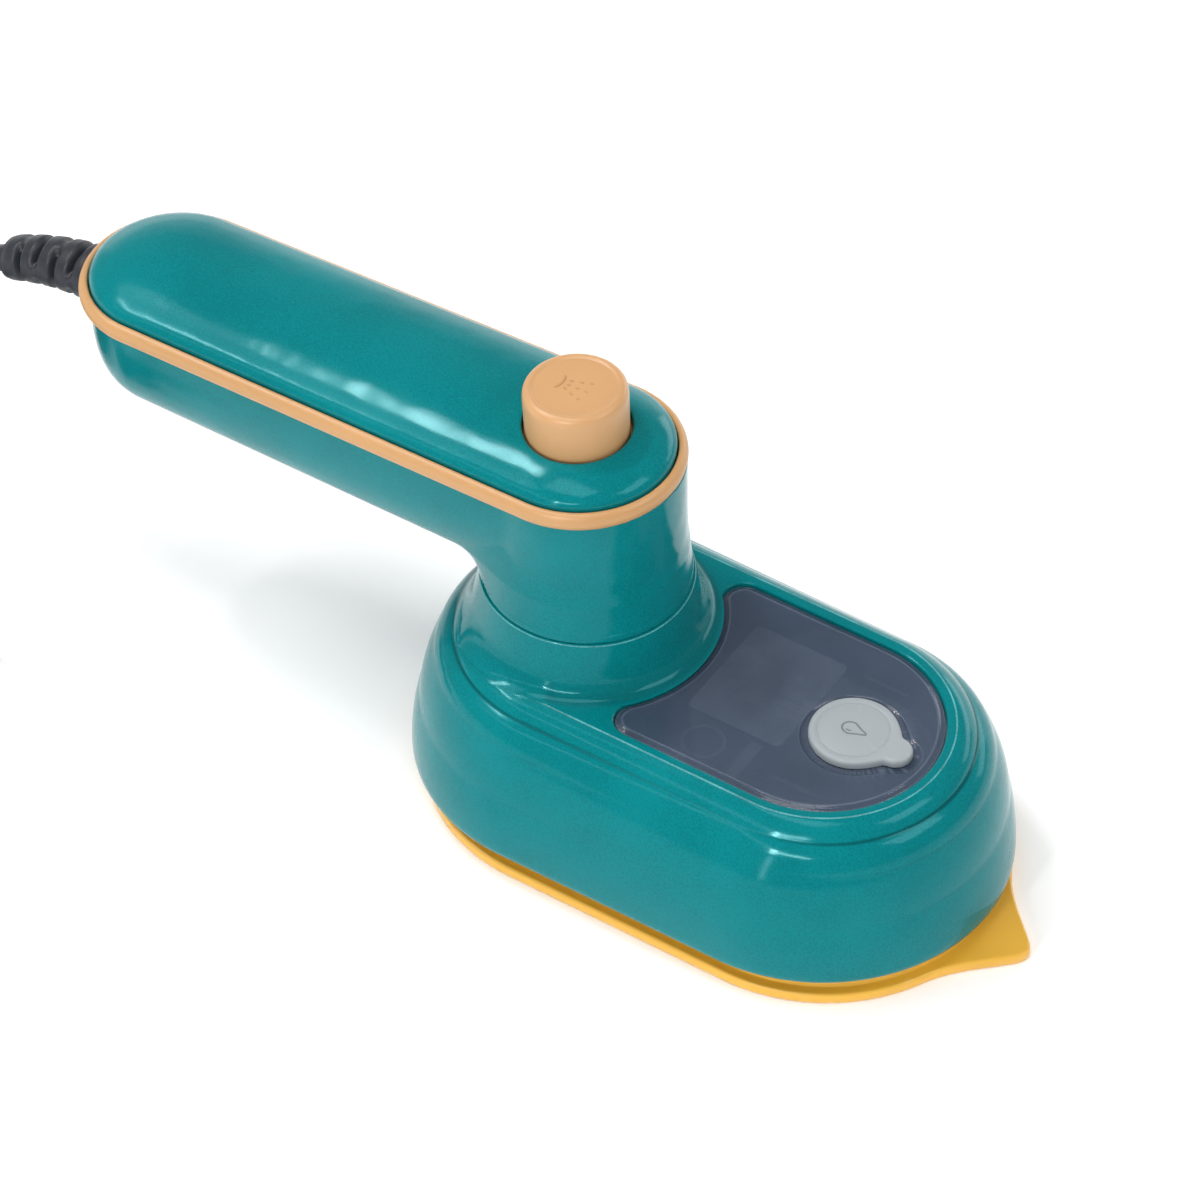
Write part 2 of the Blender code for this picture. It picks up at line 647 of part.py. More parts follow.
def make_trim():
    tan = material("trim_tan", TAN, 0.4)
    top = -FIT / 2
    low = -TRIM_H
    bead = [(-2.4 * MM, top), (0.6 * MM, top), (1.6 * MM, top - 0.6 * MM), (TRIM_OUT, top - 1.8 * MM),
            (1.7 * MM, low + 0.9 * MM), (0.8 * MM, low + FIT), (-2.4 * MM, low + FIT)]
    ring_solid("handle_trim_ring", [handle_ring(g, z) for g, z in bead], tan, closed=True)


def lower_section(depth, wall):
    """A ring of the lower shell: it narrows to a rounded, level belly."""
    power = 3.4
    grow = -wall
    floor = HANDLE_BOTTOM + wall
    ring = []
    for i in range(ROUND):
        angle = 2 * math.pi * i / ROUND
        x, _ = handle_point(angle, grow)
        rim = TRIM_TOP - TRIM_H + SLOPE * (x - SWIVEL_X)
        across = (1 - depth ** power) ** (1 / power)
        inward = HANDLE_R_TAIL * (1 - across)
        x, y = handle_point(angle, grow - inward)
        ring.append((x, y, rim + (floor - rim) * depth))
    return ring


def neck_ring(radius, z, lean):
    """A round ring about the swivel axis; lean 1 gives it the trim's slope."""
    return [(x, y, z + lean * SLOPE * (x - SWIVEL_X)) for x, y, z in circle(radius, z)]


def make_lower_shell():
    teal = material("handle_teal", TEAL, 0.22)
    depths = [0.0, 0.25, 0.45, 0.62, 0.76, 0.87, 0.94, 0.98, 0.996]
    outer = [lower_section(d, 0.0) for d in depths]
    inner = [lower_section(d, HANDLE_WALL) for d in depths[::-1][1:]]
    shell = hollow_dome("handle_lower_shell", outer, inner, teal)
    top = TRIM_TOP - TRIM_H - FIT
    neck = [neck_ring(NECK_R, NECK_BOTTOM, 0.0), neck_ring(NECK_R - 0.5 * NECK_TAPER, 58 * MM, 0.0),
            neck_ring(NECK_R - 0.85 * NECK_TAPER, 66 * MM, 0.5), neck_ring(NECK_R - NECK_TAPER, top, 1.0)]
    combine(shell, ring_solid("add_neck", neck, None), "UNION")
    room = [(17.9 * MM, 48 * MM), (17.9 * MM, 60 * MM), (16.8 * MM, 70 * MM), (16.8 * MM, 86 * MM)]
    combine(shell, turned("cut_neck", room, None), "DIFFERENCE")
    doorway = box("cut_doorway", (SWIVEL_X - 26 * MM, -11 * MM, 58 * MM),
                  (SWIVEL_X - 10 * MM, 11 * MM, 90 * MM), None)
    combine(shell, doorway, "DIFFERENCE")
    for x in PILLARS:
        pillar = [(5.0 * MM, HANDLE_BOTTOM + 0.8 * MM), (5.0 * MM, PILLAR_TOP)]
        combine(shell, turned("add_pillar", pillar, None, x, 0, 24), "UNION")
        counterbore = [(3.4 * MM, 50 * MM), (3.4 * MM, 62 * MM), (1.8 * MM, 62 * MM), (1.8 * MM, 75 * MM)]
        combine(shell, turned("cut_pillar", counterbore, None, x, 0, 20), "DIFFERENCE")
    exit_hole = turned("cut_exit", [(5.95 * MM, -12 * MM), (5.95 * MM, 12 * MM)], None, 0.0, 0.0, 24)
    exit_hole.rotation_euler = (0, math.radians(90) - RELIEF_PITCH, 0)
    exit_hole.location = (RELIEF_START[0] + 2 * MM, 0, RELIEF_START[1] + 0.2 * MM)
    combine(shell, exit_hole, "DIFFERENCE")


def make_handle_inside():
    steel = material("screw_steel", STEEL, 0.35, 0.95)
    nylon = material("guide_nylon", WHITE, 0.45)
    for number, x in enumerate(PILLARS, 1):
        screw("handle_screw_%d" % number, x, 0.0, 59.6 * MM, 3.0 * MM, 2.1 * MM, 1.1 * MM, 14 * MM, steel)
    tube_ring("rod_guide", 3.0 * MM, 15.4 * MM, GUIDE_TOP - 2 * MM, GUIDE_TOP, nylon)
    block = box("terminal_block", (SWIVEL_X - 52 * MM, -8 * MM, 58 * MM),
                (SWIVEL_X - 40 * MM, 8 * MM, 67 * MM), material("block_plastic", WHITE, 0.5))
    for side in (-1, 1):
        hole = box("cut_terminal", (SWIVEL_X - 48.5 * MM, side * 4 * MM - 1.6 * MM, 62 * MM),
                   (SWIVEL_X - 43.5 * MM, side * 4 * MM + 1.6 * MM, 70 * MM), None)
        combine(block, hole, "DIFFERENCE")
    clamp = box("cord_clamp", (SWIVEL_X - 103.5 * MM, -7 * MM, 73.2 * MM),
                (SWIVEL_X - 98.5 * MM, 7 * MM, 76.0 * MM), nylon)
    for side in (-1, 1):
        hole = turned("cut_clamp", [(1.5 * MM, 70 * MM), (1.5 * MM, 78 * MM)], None, SWIVEL_X - 101 * MM,
                      side * 5 * MM, 12)
        combine(clamp, hole, "DIFFERENCE")
    make_wiring(-1, "right", material("wire_brown", (0.20, 0.08, 0.03, 1.0), 0.5))
    make_wiring(1, "left", material("wire_blue", (0.03, 0.10, 0.40, 1.0), 0.5))


def make_wiring(side, label, insulation):
    """One mains wire from the cord to the terminal block, and its lead down to the head."""
    mains = [(-104.5, 3.0, 70.2), (-97.5, 6.4, 69.6), (-90, 8.2, 67), (-76, 8.2, 63.5), (-61, 7.8, 62),
             (-52.4, 5, 61)]
    lead = [(-39.6, 5, 61), (-30, 7.5, 61), (-18, 9, 61), (-9, 8, 57), (-7, 7, 48)]
    wire_r = 1.1 * MM
    wire("mains_wire_" + label, wire_route(mains, side), wire_r, insulation, smooth=12)
    sleeve = material("lead_sleeve", WHITE, 0.6)
    wire("element_lead_" + label, wire_route(lead, side), wire_r, sleeve, smooth=12)


def wire_route(spots, side):
    """Millimetres along from the swivel axis, out to one side, and up, as points."""
    return [(SWIVEL_X + u * MM, side * y * MM, z * MM) for u, y, z in spots]


def make_button():
    tan = material("button_tan", TAN, 0.4)
    flange_low, flange_top = BUTTON_FLANGE
    hollow_r, flange_r = 8.3 * MM, 11.4 * MM
    roof = BUTTON_TOP - BUTTON_HOLLOW
    profile = [(hollow_r, flange_low), (flange_r, flange_low), (flange_r, flange_top), (BUTTON_R, flange_top),
               (BUTTON_R, BUTTON_TOP - 1.2 * MM), (BUTTON_R - 0.35 * MM, BUTTON_TOP - 0.35 * MM),
               (BUTTON_R - 1.2 * MM, BUTTON_TOP), (BUTTON_R - 2.2 * MM, BUTTON_TOP - 0.3 * MM),
               (0.5 * MM, BUTTON_TOP - 0.3 * MM)]
    inside = [(0.5 * MM, roof), (hollow_r, roof)]
    outer = [circle(r, z, BUTTON_X) for r, z in profile]
    inner = [circle(r, z, BUTTON_X) for r, z in inside]
    button = hollow_dome("steam_button", outer, inner, tan)
    button.data.transform(Matrix.Translation((-BUTTON_X, 0, -BUTTON_TOP)))
    button.location = (BUTTON_X, 0, BUTTON_TOP)
    rod = [(2.0 * MM, 47.2 * MM), (2.5 * MM, 48.0 * MM), (2.5 * MM, roof - FIT)]
    turned("push_rod", rod, material("rod_acetal", WHITE, 0.4), sides=20)
    spring("button_spring", BUTTON_X, GUIDE_TOP + FIT, roof - FIT, 6.6 * MM, 0.5 * MM, 7,
           material("spring_steel", STEEL, 0.3, 1.0))


# ---------------------------------------------------------------- the cord
def relief_path(share):
    """The strain relief's middle line: it starts nearly level and droops."""
    start = Vector((RELIEF_START[0], 0.0, RELIEF_START[1]))
    end = Vector((RELIEF_END[0], 0.0, RELIEF_END[1]))
    sag = math.sin(math.pi * share) * 1.1 * MM
    return start.lerp(end, share) + Vector((0, 0, sag))


def make_strain_relief():
    rubber = material("relief_rubber", BLACK, 0.55)
    sides = 16
    ribs = 5
    per_rib = 4
    length = (Vector(RELIEF_START) - Vector(RELIEF_END)).length
    flange = [(-8.4 * MM, 6.6 * MM), (-6.8 * MM, 6.6 * MM), (-6.8 * MM, 5.0 * MM)]
    stations = [(along / length, radius) for along, radius in flange]
    for i in range(ribs * per_rib + 1):
        share = i / (ribs * per_rib)
        groove = 0.45 * MM * (0.5 + 0.5 * math.cos(2 * math.pi * share * ribs))
        stations.append((share, 5.6 * MM - 1.2 * MM * share - groove))
    rings = []
    for share, radius in stations:
        middle = relief_path(share)
        ahead = relief_path(share + 0.01) - relief_path(share - 0.01)
        tilt = math.atan2(ahead.z, -ahead.x)
        ring = []
        for k in range(sides):
            turn = 2 * math.pi * k / sides
            up = radius * math.cos(turn)
            ring.append((middle.x + up * math.sin(tilt), radius * math.sin(turn),
                         middle.z + up * math.cos(tilt)))
        rings.append(ring)
    ring_solid("strain_relief", rings, rubber)


def make_cord():
    jacket = material("cord_jacket", BLACK, 0.5)
    end = relief_path(1.0)
    way = (relief_path(1.0) - relief_path(0.97)).normalized()
    droop = [(-141.5, 0.0, 60.9), (-146.5, 0.1, 57.2), (-151.0, 0.4, 53.0), (-155.2, 0.9, 48.4),
             (-159.2, 1.5, 43.6), (-163.2, 2.2, 38.9), (-167.4, 3.0, 34.4), (-171.9, 3.8, 30.3),
             (-176.8, 4.6, 26.8), (-182.1, 5.3, 24.0), (-187.6, 5.9, 21.9), (-193.4, 6.3, 20.6),
             (-199.3, 6.4, 20.1), (-205.0, 5.9, 20.1)]
    route = [end + way * FIT] + wire_route(droop, 1)
    wire("power_cord", route, CORD_R, jacket, resolution=2, smooth=20)
    cx, cy = COIL_C
    corner = 3.0 * MM
    low, high = 0.0, 2 * COIL_HALF
    r_in, r_out = COIL_R - COIL_HALF, COIL_R + COIL_HALF
    profile = [(r_out - corner, low), (r_out, corner), (r_out, high - corner), (r_out - corner, high),
               (r_in + corner, high), (r_in, high - corner), (r_in, corner), (r_in + corner, low)]
    turned("cord_coil", profile, jacket, cx, cy, 40, hollow=True)
    out_y = cy - COIL_R - 5.6 * MM
    tail = [(cx + 20.6 * MM, out_y - 0.6 * MM, CORD_R + 0.1 * MM), (cx + 25 * MM, out_y - 0.6 * MM, 3.3 * MM),
            (cx + 30 * MM, out_y - 0.3 * MM, 5.0 * MM), (cx + 34 * MM, out_y, 6.2 * MM),
            (PLUG_BODY_X - 1.6 * FIT, out_y, 6.4 * MM)]
    wire("cord_tail", tail, CORD_R, jacket, resolution=2, smooth=7)
    return out_y


def make_mains_plug(y):
    jacket = material("mains_plug", BLACK, 0.45)
    pin_metal = material("pin_brass", (0.70, 0.66, 0.55, 1.0), 0.25, 1.0)
    stations = [(0.0, 3.6, 3.6, 6.4), (5.0, 4.6, 4.3, 6.7), (9.0, 6.5, 5.2, 6.9), (13.0, 10.5, 6.6, 7.0),
                (17.0, 12.6, 6.9, 7.0), (27.0, 13.0, 6.9, 7.0), (29.0, 12.2, 6.3, 7.0)]
    rings = []
    sides = 24
    for along, half_w, half_h, z in stations:
        ring = []
        for k in range(sides):
            turn = 2 * math.pi * k / sides
            c, s = math.cos(turn), math.sin(turn)
            ring.append((PLUG_BODY_X + along * MM, y + half_w * MM * math.copysign(abs(c) ** 0.6, c),
                         (z + half_h * math.copysign(abs(s) ** 0.6, s)) * MM))
        rings.append(ring)
    ring_solid("plug_body", rings, jacket)
    start = PLUG_BODY_X + 29 * MM + FIT
    for side, label in ((-1, "right"), (1, "left")):
        middle = y + side * 9.3 * MM
        route = [(start, middle, 7 * MM), (start + 17.5 * MM, middle, 7 * MM), (start + 18.7 * MM, middle, 7 * MM)]
        pin = wire("plug_pin_" + label, route, 2.0 * MM, pin_metal, resolution=2)
        pin.data.splines[0].points[2].radius = 0.6


def main():
    clear_scene()
    make_soleplate()
    make_casting()
    make_chamber_lid()
    make_element()
    make_thermal_parts()
    make_heat_shield()
    make_head_shell()
    make_window()
    make_fill_plug()
    make_tank()
    make_valve()
    make_swivel()
    make_lower_shell()
    make_trim()
    make_upper_shell()
    make_handle_inside()
    make_button()
    make_strain_relief()
    make_mains_plug(make_cord())


main()
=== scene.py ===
"""Visual model of a swivel-handle steam iron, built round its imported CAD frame."""
import itertools
import json
import math

import bpy
import numpy as np
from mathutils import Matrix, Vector
from mathutils.geometry import delaunay_2d_cdt


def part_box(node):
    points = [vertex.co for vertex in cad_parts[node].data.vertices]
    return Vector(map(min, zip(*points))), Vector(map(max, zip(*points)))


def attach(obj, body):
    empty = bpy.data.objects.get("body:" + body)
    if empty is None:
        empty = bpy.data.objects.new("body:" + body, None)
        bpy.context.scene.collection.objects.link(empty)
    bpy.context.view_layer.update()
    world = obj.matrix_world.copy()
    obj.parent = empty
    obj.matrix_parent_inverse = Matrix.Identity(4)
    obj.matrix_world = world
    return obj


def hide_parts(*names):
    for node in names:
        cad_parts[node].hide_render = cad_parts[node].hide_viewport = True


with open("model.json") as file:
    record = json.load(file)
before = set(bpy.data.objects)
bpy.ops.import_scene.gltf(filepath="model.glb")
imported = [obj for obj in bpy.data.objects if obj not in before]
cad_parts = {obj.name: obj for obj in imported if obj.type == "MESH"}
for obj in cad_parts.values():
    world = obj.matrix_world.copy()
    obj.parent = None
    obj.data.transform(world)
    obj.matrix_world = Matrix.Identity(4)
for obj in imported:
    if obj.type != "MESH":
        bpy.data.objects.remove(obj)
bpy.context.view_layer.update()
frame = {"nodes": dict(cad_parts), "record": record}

MM = 0.001

# Lengths below are millimetres; u is measured along X from the swivel axis.
HUB_LOW, HUB_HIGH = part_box("swivel_hub")
AXIS = (HUB_LOW.x + HUB_HIGH.x) / 2 / MM
REAR_U, FRONT_U = 4.2, 53.7
HEAD_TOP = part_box("tank_window")[1].z / MM
COLLAR_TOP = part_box("head_shell")[1].z / MM
SLOPE = math.tan(math.radians(2.1))
TRIM_TOP = 83.1
TRIM_H = 3.5
GRIP_FRONT_U, GRIP_TAIL_U = -1.3, -95.8
GRIP_FRONT_R, GRIP_TAIL_R = 18.2, 17.1
CROWN_H, CROWN_POWER = 5.7, 1.9
BUTTON_U = -2.2
PLUG_U = 60.6


# ------------------------------------------------------------------ camera
def make_camera():
    azimuth, elevation, distance = math.radians(33.15), math.radians(45.24), 1.31335
    target = Vector((0.00967, 0.0, 0.04369))
    back = Vector((math.sin(azimuth) * math.cos(elevation),
                   -math.cos(azimuth) * math.cos(elevation), math.sin(elevation)))
    data = bpy.data.cameras.new("studio_camera")
    data.lens = 204.0
    data.sensor_width = 36.0
    data.clip_start = 0.05
    camera = bpy.data.objects.new("studio_camera", data)
    camera.location = target + back * distance
    camera.rotation_euler = (-back).to_track_quat("-Z", "Y").to_euler()
    bpy.context.scene.collection.objects.link(camera)
    bpy.context.scene.camera = camera


# ------------------------------------------------------------------ mesh tools
class Shape:
    """Vertices (mm, u y z) and faces of one piece, gathered ring by ring."""

    def __init__(self):
        self.points = []
        self.faces = []
        self.slots = []

    def add(self, ring):
        start = len(self.points)
        self.points.extend(tuple(float(c) for c in p) for p in ring)
        return list(range(start, len(self.points)))

    def face(self, ids, slot=0):
        self.faces.append(tuple(ids))
        self.slots.append(slot)

    def bridge(self, rows, wrap=True, slot=0):
        for low, high in zip(rows, rows[1:]):
            count = len(low)
            for i in range(count if wrap else count - 1):
                j = (i + 1) % count
                self.face((low[i], low[j], high[j], high[i]), slot)

    def skin(self, rings, wrap=True, slot=0):
        rows = [self.add(ring) for ring in rings]
        self.bridge(rows, wrap, slot)
        return rows

    def fan(self, row, tip, slot=0):
        centre = self.add([tip])[0]
        for i in range(len(row)):
            self.face((row[i], row[(i + 1) % len(row)], centre), slot)

    def fill(self, outside, holes=(), extra=(), slot=0):
        """Triangles between closed rows of vertices, seen from above."""
        loops = [outside] + list(holes)
        ids = [i for loop in loops for i in loop] + list(extra)
        flat = [Vector(self.points[i][:2]) for i in ids]
        edges = []
        start = 0
        for loop in loops:
            edges += [(start + k, start + (k + 1) % len(loop)) for k in range(len(loop))]
            start += len(loop)
        spots, _, triangles, origins, _, _ = delaunay_2d_cdt(flat, edges, [], 0, 1e-5)
        rims = [np.array([self.points[i][:2] for i in loop]) for loop in loops]
        for triangle in triangles:
            middle = sum((spots[i] for i in triangle), Vector((0, 0))) / 3
            if not holds(rims[0], middle) or any(holds(rim, middle) for rim in rims[1:]):
                continue
            if all(origins[i] for i in triangle):
                self.face([ids[origins[i][0]] for i in triangle], slot)


def holds(rim, spot):
    """True where the polygon holds the spot."""
    x, y = rim[:, 0], rim[:, 1]
    x2, y2 = np.roll(x, -1), np.roll(y, -1)
    over = (y > spot.y) != (y2 > spot.y)
    run = np.where(over, y2 - y, 1.0)
    cut = x + (spot.y - y) / run * (x2 - x)
    return bool(np.count_nonzero(over & (spot.x < cut)) % 2)


def place(name, mesh, body, materials, replaced=()):
    obj = bpy.data.objects.new(name, mesh)
    bpy.context.scene.collection.objects.link(obj)
    for made in materials:
        mesh.materials.append(made)
    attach(obj, body)
    if replaced:
        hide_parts(*replaced)
    return obj


def build(name, shape, body, materials, replaced=(), sharp=38.0):
    mesh = bpy.data.meshes.new(name)
    points = [((u + AXIS) * MM, y * MM, z * MM) for u, y, z in shape.points]
    mesh.from_pydata(points, [], shape.faces)
    mesh.polygons.foreach_set("material_index", shape.slots)
    mesh.validate()
    obj = place(name, mesh, body, materials, replaced)
    bpy.context.view_layer.objects.active = obj
    bpy.ops.object.select_all(action="DESELECT")
    obj.select_set(True)
    bpy.ops.object.mode_set(mode="EDIT")
    bpy.ops.mesh.select_all(action="SELECT")
    bpy.ops.mesh.normals_make_consistent(inside=False)
    bpy.ops.object.mode_set(mode="OBJECT")
    mesh.shade_smooth()
    mesh.set_sharp_from_angle(angle=math.radians(sharp))
    return obj


def circle(radius, z, u=0.0, y=0.0, count=96):
    turn = np.linspace(0, 2 * math.pi, count, endpoint=False)
    return np.column_stack([u + radius * np.cos(turn), y + radius * np.sin(turn), np.full(count, z)])


def turned(shape, profile, u=0.0, y=0.0, count=96, slot=0):
    return shape.skin([circle(radius, z, u, y, count) for radius, z in profile], slot=slot)


def capsule(front, rear, front_r, rear_r, arc=56, side=44):
    """Columns round a stadium: middle u, outward normal, radius and share along."""
    half = np.linspace(-math.pi / 2, math.pi / 2, arc + 1)
    run = np.linspace(0, 1, side + 1)[1:-1]
    turn = np.concatenate([half, np.full(side - 1, math.pi / 2), half + math.pi,
                           np.full(side - 1, 1.5 * math.pi)])
    share = np.concatenate([np.zeros(arc + 1), run, np.ones(arc + 1), run[::-1]])
    middle = front + (rear - front) * share
    radius = front_r + (rear_r - front_r) * share
    return middle, np.cos(turn), np.sin(turn), radius, share


def capsule_ring(columns, grow, z):
    middle, nx, ny, radius, _ = columns
    reach = radius + grow
    return np.column_stack([middle + nx * reach, ny * reach, np.broadcast_to(z, nx.shape)])


def bulged(start, end, bulge, count):
    """Points from start to end on a shallow outward bow; end left out."""
    start, end = np.array(start), np.array(end)
    chord = end - start
    out = np.array([-chord[1], chord[0]]) / np.hypot(*chord)
    if out[0] < 0:
        out = -out
    share = np.linspace(0, 1, count, endpoint=False)[:, None]
    return start + chord * share + out * 4 * bulge * share * (1 - share)


def smooth_route(points, per=8):
    """Catmull-Rom line through the points."""
    pts = [Vector(p) for p in points]
    pts = [pts[0] * 2 - pts[1]] + pts + [pts[-1] * 2 - pts[-2]]
    line = []
    for a, b, c, d in zip(pts, pts[1:], pts[2:], pts[3:]):
        for k in range(per):
            t = k / per
            line.append(0.5 * (2 * b + (c - a) * t + (2 * a - 5 * b + 4 * c - d) * t * t
                               + (3 * b - a - 3 * c + d) * t ** 3))
    line.append(pts[-2])
    return line


def tube_frames(line):
    """A steady pair of cross directions along a line of points."""
    frames = []
    side = Vector((0, 1, 0))
    for i, spot in enumerate(line):
        ahead = (line[min(i + 1, len(line) - 1)] - line[max(i - 1, 0)]).normalized()
        side = (side - ahead * side.dot(ahead)).normalized()
        frames.append((spot, side, ahead.cross(side).normalized(), ahead))
    return frames


# ------------------------------------------------------------------ materials
def node(tree, kind, **settings):
    made = tree.nodes.new(kind)
    for key, value in settings.items():
        if key.startswith("in_"):
            made.inputs[key[3:].replace("_", " ")].default_value = value
        else:
            setattr(made, key, value)
    return made


def procedural(name, colour, worn_and_highlight_colour, rough, rough_spread=0.08, metallic=0.0, mottle=0.07,
               mottle_scale=45.0, grain=900.0, grain_depth=0.00002, ripple_depth=0.0,
               ripple_scale=95.0, speckle=0.0, edges=(0.53, 0.62), crease_shade=0.0, edge_wear_and_highlight=0.35, sockets=None):
    """Plastic, rubber or metal whose colour, gloss and surface vary from place to place; convex edges take a lighter
    colour, which is wear on most finishes and a painted highlight line on the window's rim, and concave creases can be
    darkened as painted shade.
    """
    made = bpy.data.materials.new(name)
    made.use_nodes = True
    tree = made.node_tree
    shader = tree.nodes["Principled BSDF"]
    link = tree.links.new
    place_at = node(tree, "ShaderNodeTexCoord")
    broad = node(tree, "ShaderNodeTexNoise", in_Scale=mottle_scale, in_Detail=3.0)
    fine = node(tree, "ShaderNodeTexNoise", in_Scale=grain, in_Detail=2.0)
    for texture in (broad, fine):
        link(place_at.outputs["Object"], texture.inputs["Vector"])
    shade = node(tree, "ShaderNodeMapRange")
    shade.inputs["From Min"].default_value = 0.3
    shade.inputs["From Max"].default_value = 0.7
    link(broad.outputs["Fac"], shade.inputs["Value"])
    tint = node(tree, "ShaderNodeMix", data_type="RGBA")
    tint.inputs["A"].default_value = (*[c * (1 - mottle) for c in colour], 1.0)
    tint.inputs["B"].default_value = (*[min(1.0, c * (1 + mottle)) for c in colour], 1.0)
    factor = shade.outputs["Result"]
    if speckle:
        dots = node(tree, "ShaderNodeMath", operation="MULTIPLY_ADD")
        link(fine.outputs["Fac"], dots.inputs[0])
        dots.inputs[1].default_value = speckle
        dots.inputs[2].default_value = -speckle / 2
        both = node(tree, "ShaderNodeMath", operation="ADD")
        link(factor, both.inputs[0])
        link(dots.outputs["Value"], both.inputs[1])
        factor = both.outputs["Value"]
    link(factor, tint.inputs["Factor"])
    # Convex edges (high pointiness) take the lighter worn colour: wear on most finishes, a painted highlight line on
    # the window's rim.
    shape_of = node(tree, "ShaderNodeNewGeometry")
    edge = node(tree, "ShaderNodeMapRange")
    edge.inputs["From Min"].default_value = edges[0]
    edge.inputs["From Max"].default_value = edges[1]
    edge.inputs["To Max"].default_value = edge_wear_and_highlight
    link(shape_of.outputs["Pointiness"], edge.inputs["Value"])
    patchy = node(tree, "ShaderNodeMath", operation="MULTIPLY")
    link(edge.outputs["Result"], patchy.inputs[0])
    link(broad.outputs["Fac"], patchy.inputs[1])
    worn_and_lit_edges = node(tree, "ShaderNodeMix", data_type="RGBA")
    link(patchy.outputs["Value"], worn_and_lit_edges.inputs["Factor"])
    link(tint.outputs["Result"], worn_and_lit_edges.inputs["A"])
    worn_and_lit_edges.inputs["B"].default_value = (*worn_and_highlight_colour, 1.0)
    surface = worn_and_lit_edges.outputs["Result"]
    # Painted shade: concave creases (low pointiness) are darkened towards 0.4 of the base colour.
    if crease_shade:
        hollow = node(tree, "ShaderNodeMapRange")
        hollow.inputs["From Min"].default_value = 0.4985
        hollow.inputs["From Max"].default_value = 0.484
        hollow.inputs["To Max"].default_value = crease_shade
        link(shape_of.outputs["Pointiness"], hollow.inputs["Value"])
        shaded = node(tree, "ShaderNodeMix", data_type="RGBA")
        link(hollow.outputs["Result"], shaded.inputs["Factor"])
        link(surface, shaded.inputs["A"])
        shaded.inputs["B"].default_value = (*[c * 0.4 for c in colour], 1.0)
        surface = shaded.outputs["Result"]
    link(surface, shader.inputs["Base Color"])
    gloss = node(tree, "ShaderNodeMapRange")
    gloss.inputs["From Min"].default_value = 0.3
    gloss.inputs["From Max"].default_value = 0.7
    gloss.inputs["To Min"].default_value = max(0.02, rough - rough_spread / 2)
    gloss.inputs["To Max"].default_value = rough + rough_spread / 2
    link(broad.outputs["Fac"], gloss.inputs["Value"])
    link(gloss.outputs["Result"], shader.inputs["Roughness"])
    bump = node(tree, "ShaderNodeBump", in_Distance=grain_depth, in_Strength=1.0)
    link(fine.outputs["Fac"], bump.inputs["Height"])
    if ripple_depth:
        wave = node(tree, "ShaderNodeTexNoise", in_Scale=ripple_scale, in_Detail=1.5)
        link(place_at.outputs["Object"], wave.inputs["Vector"])
        under = node(tree, "ShaderNodeBump", in_Distance=ripple_depth, in_Strength=1.0)
        link(wave.outputs["Fac"], under.inputs["Height"])
        link(under.outputs["Normal"], bump.inputs["Normal"])
    link(bump.outputs["Normal"], shader.inputs["Normal"])
    shader.inputs["Metallic"].default_value = metallic
    for socket, value in (sockets or {}).items():
        shader.inputs[socket].default_value = value
    return made


GLOSS_TEAL = {"Specular IOR Level": 0.24, "Specular Tint": (0.35, 0.92, 1.0, 1.0)}


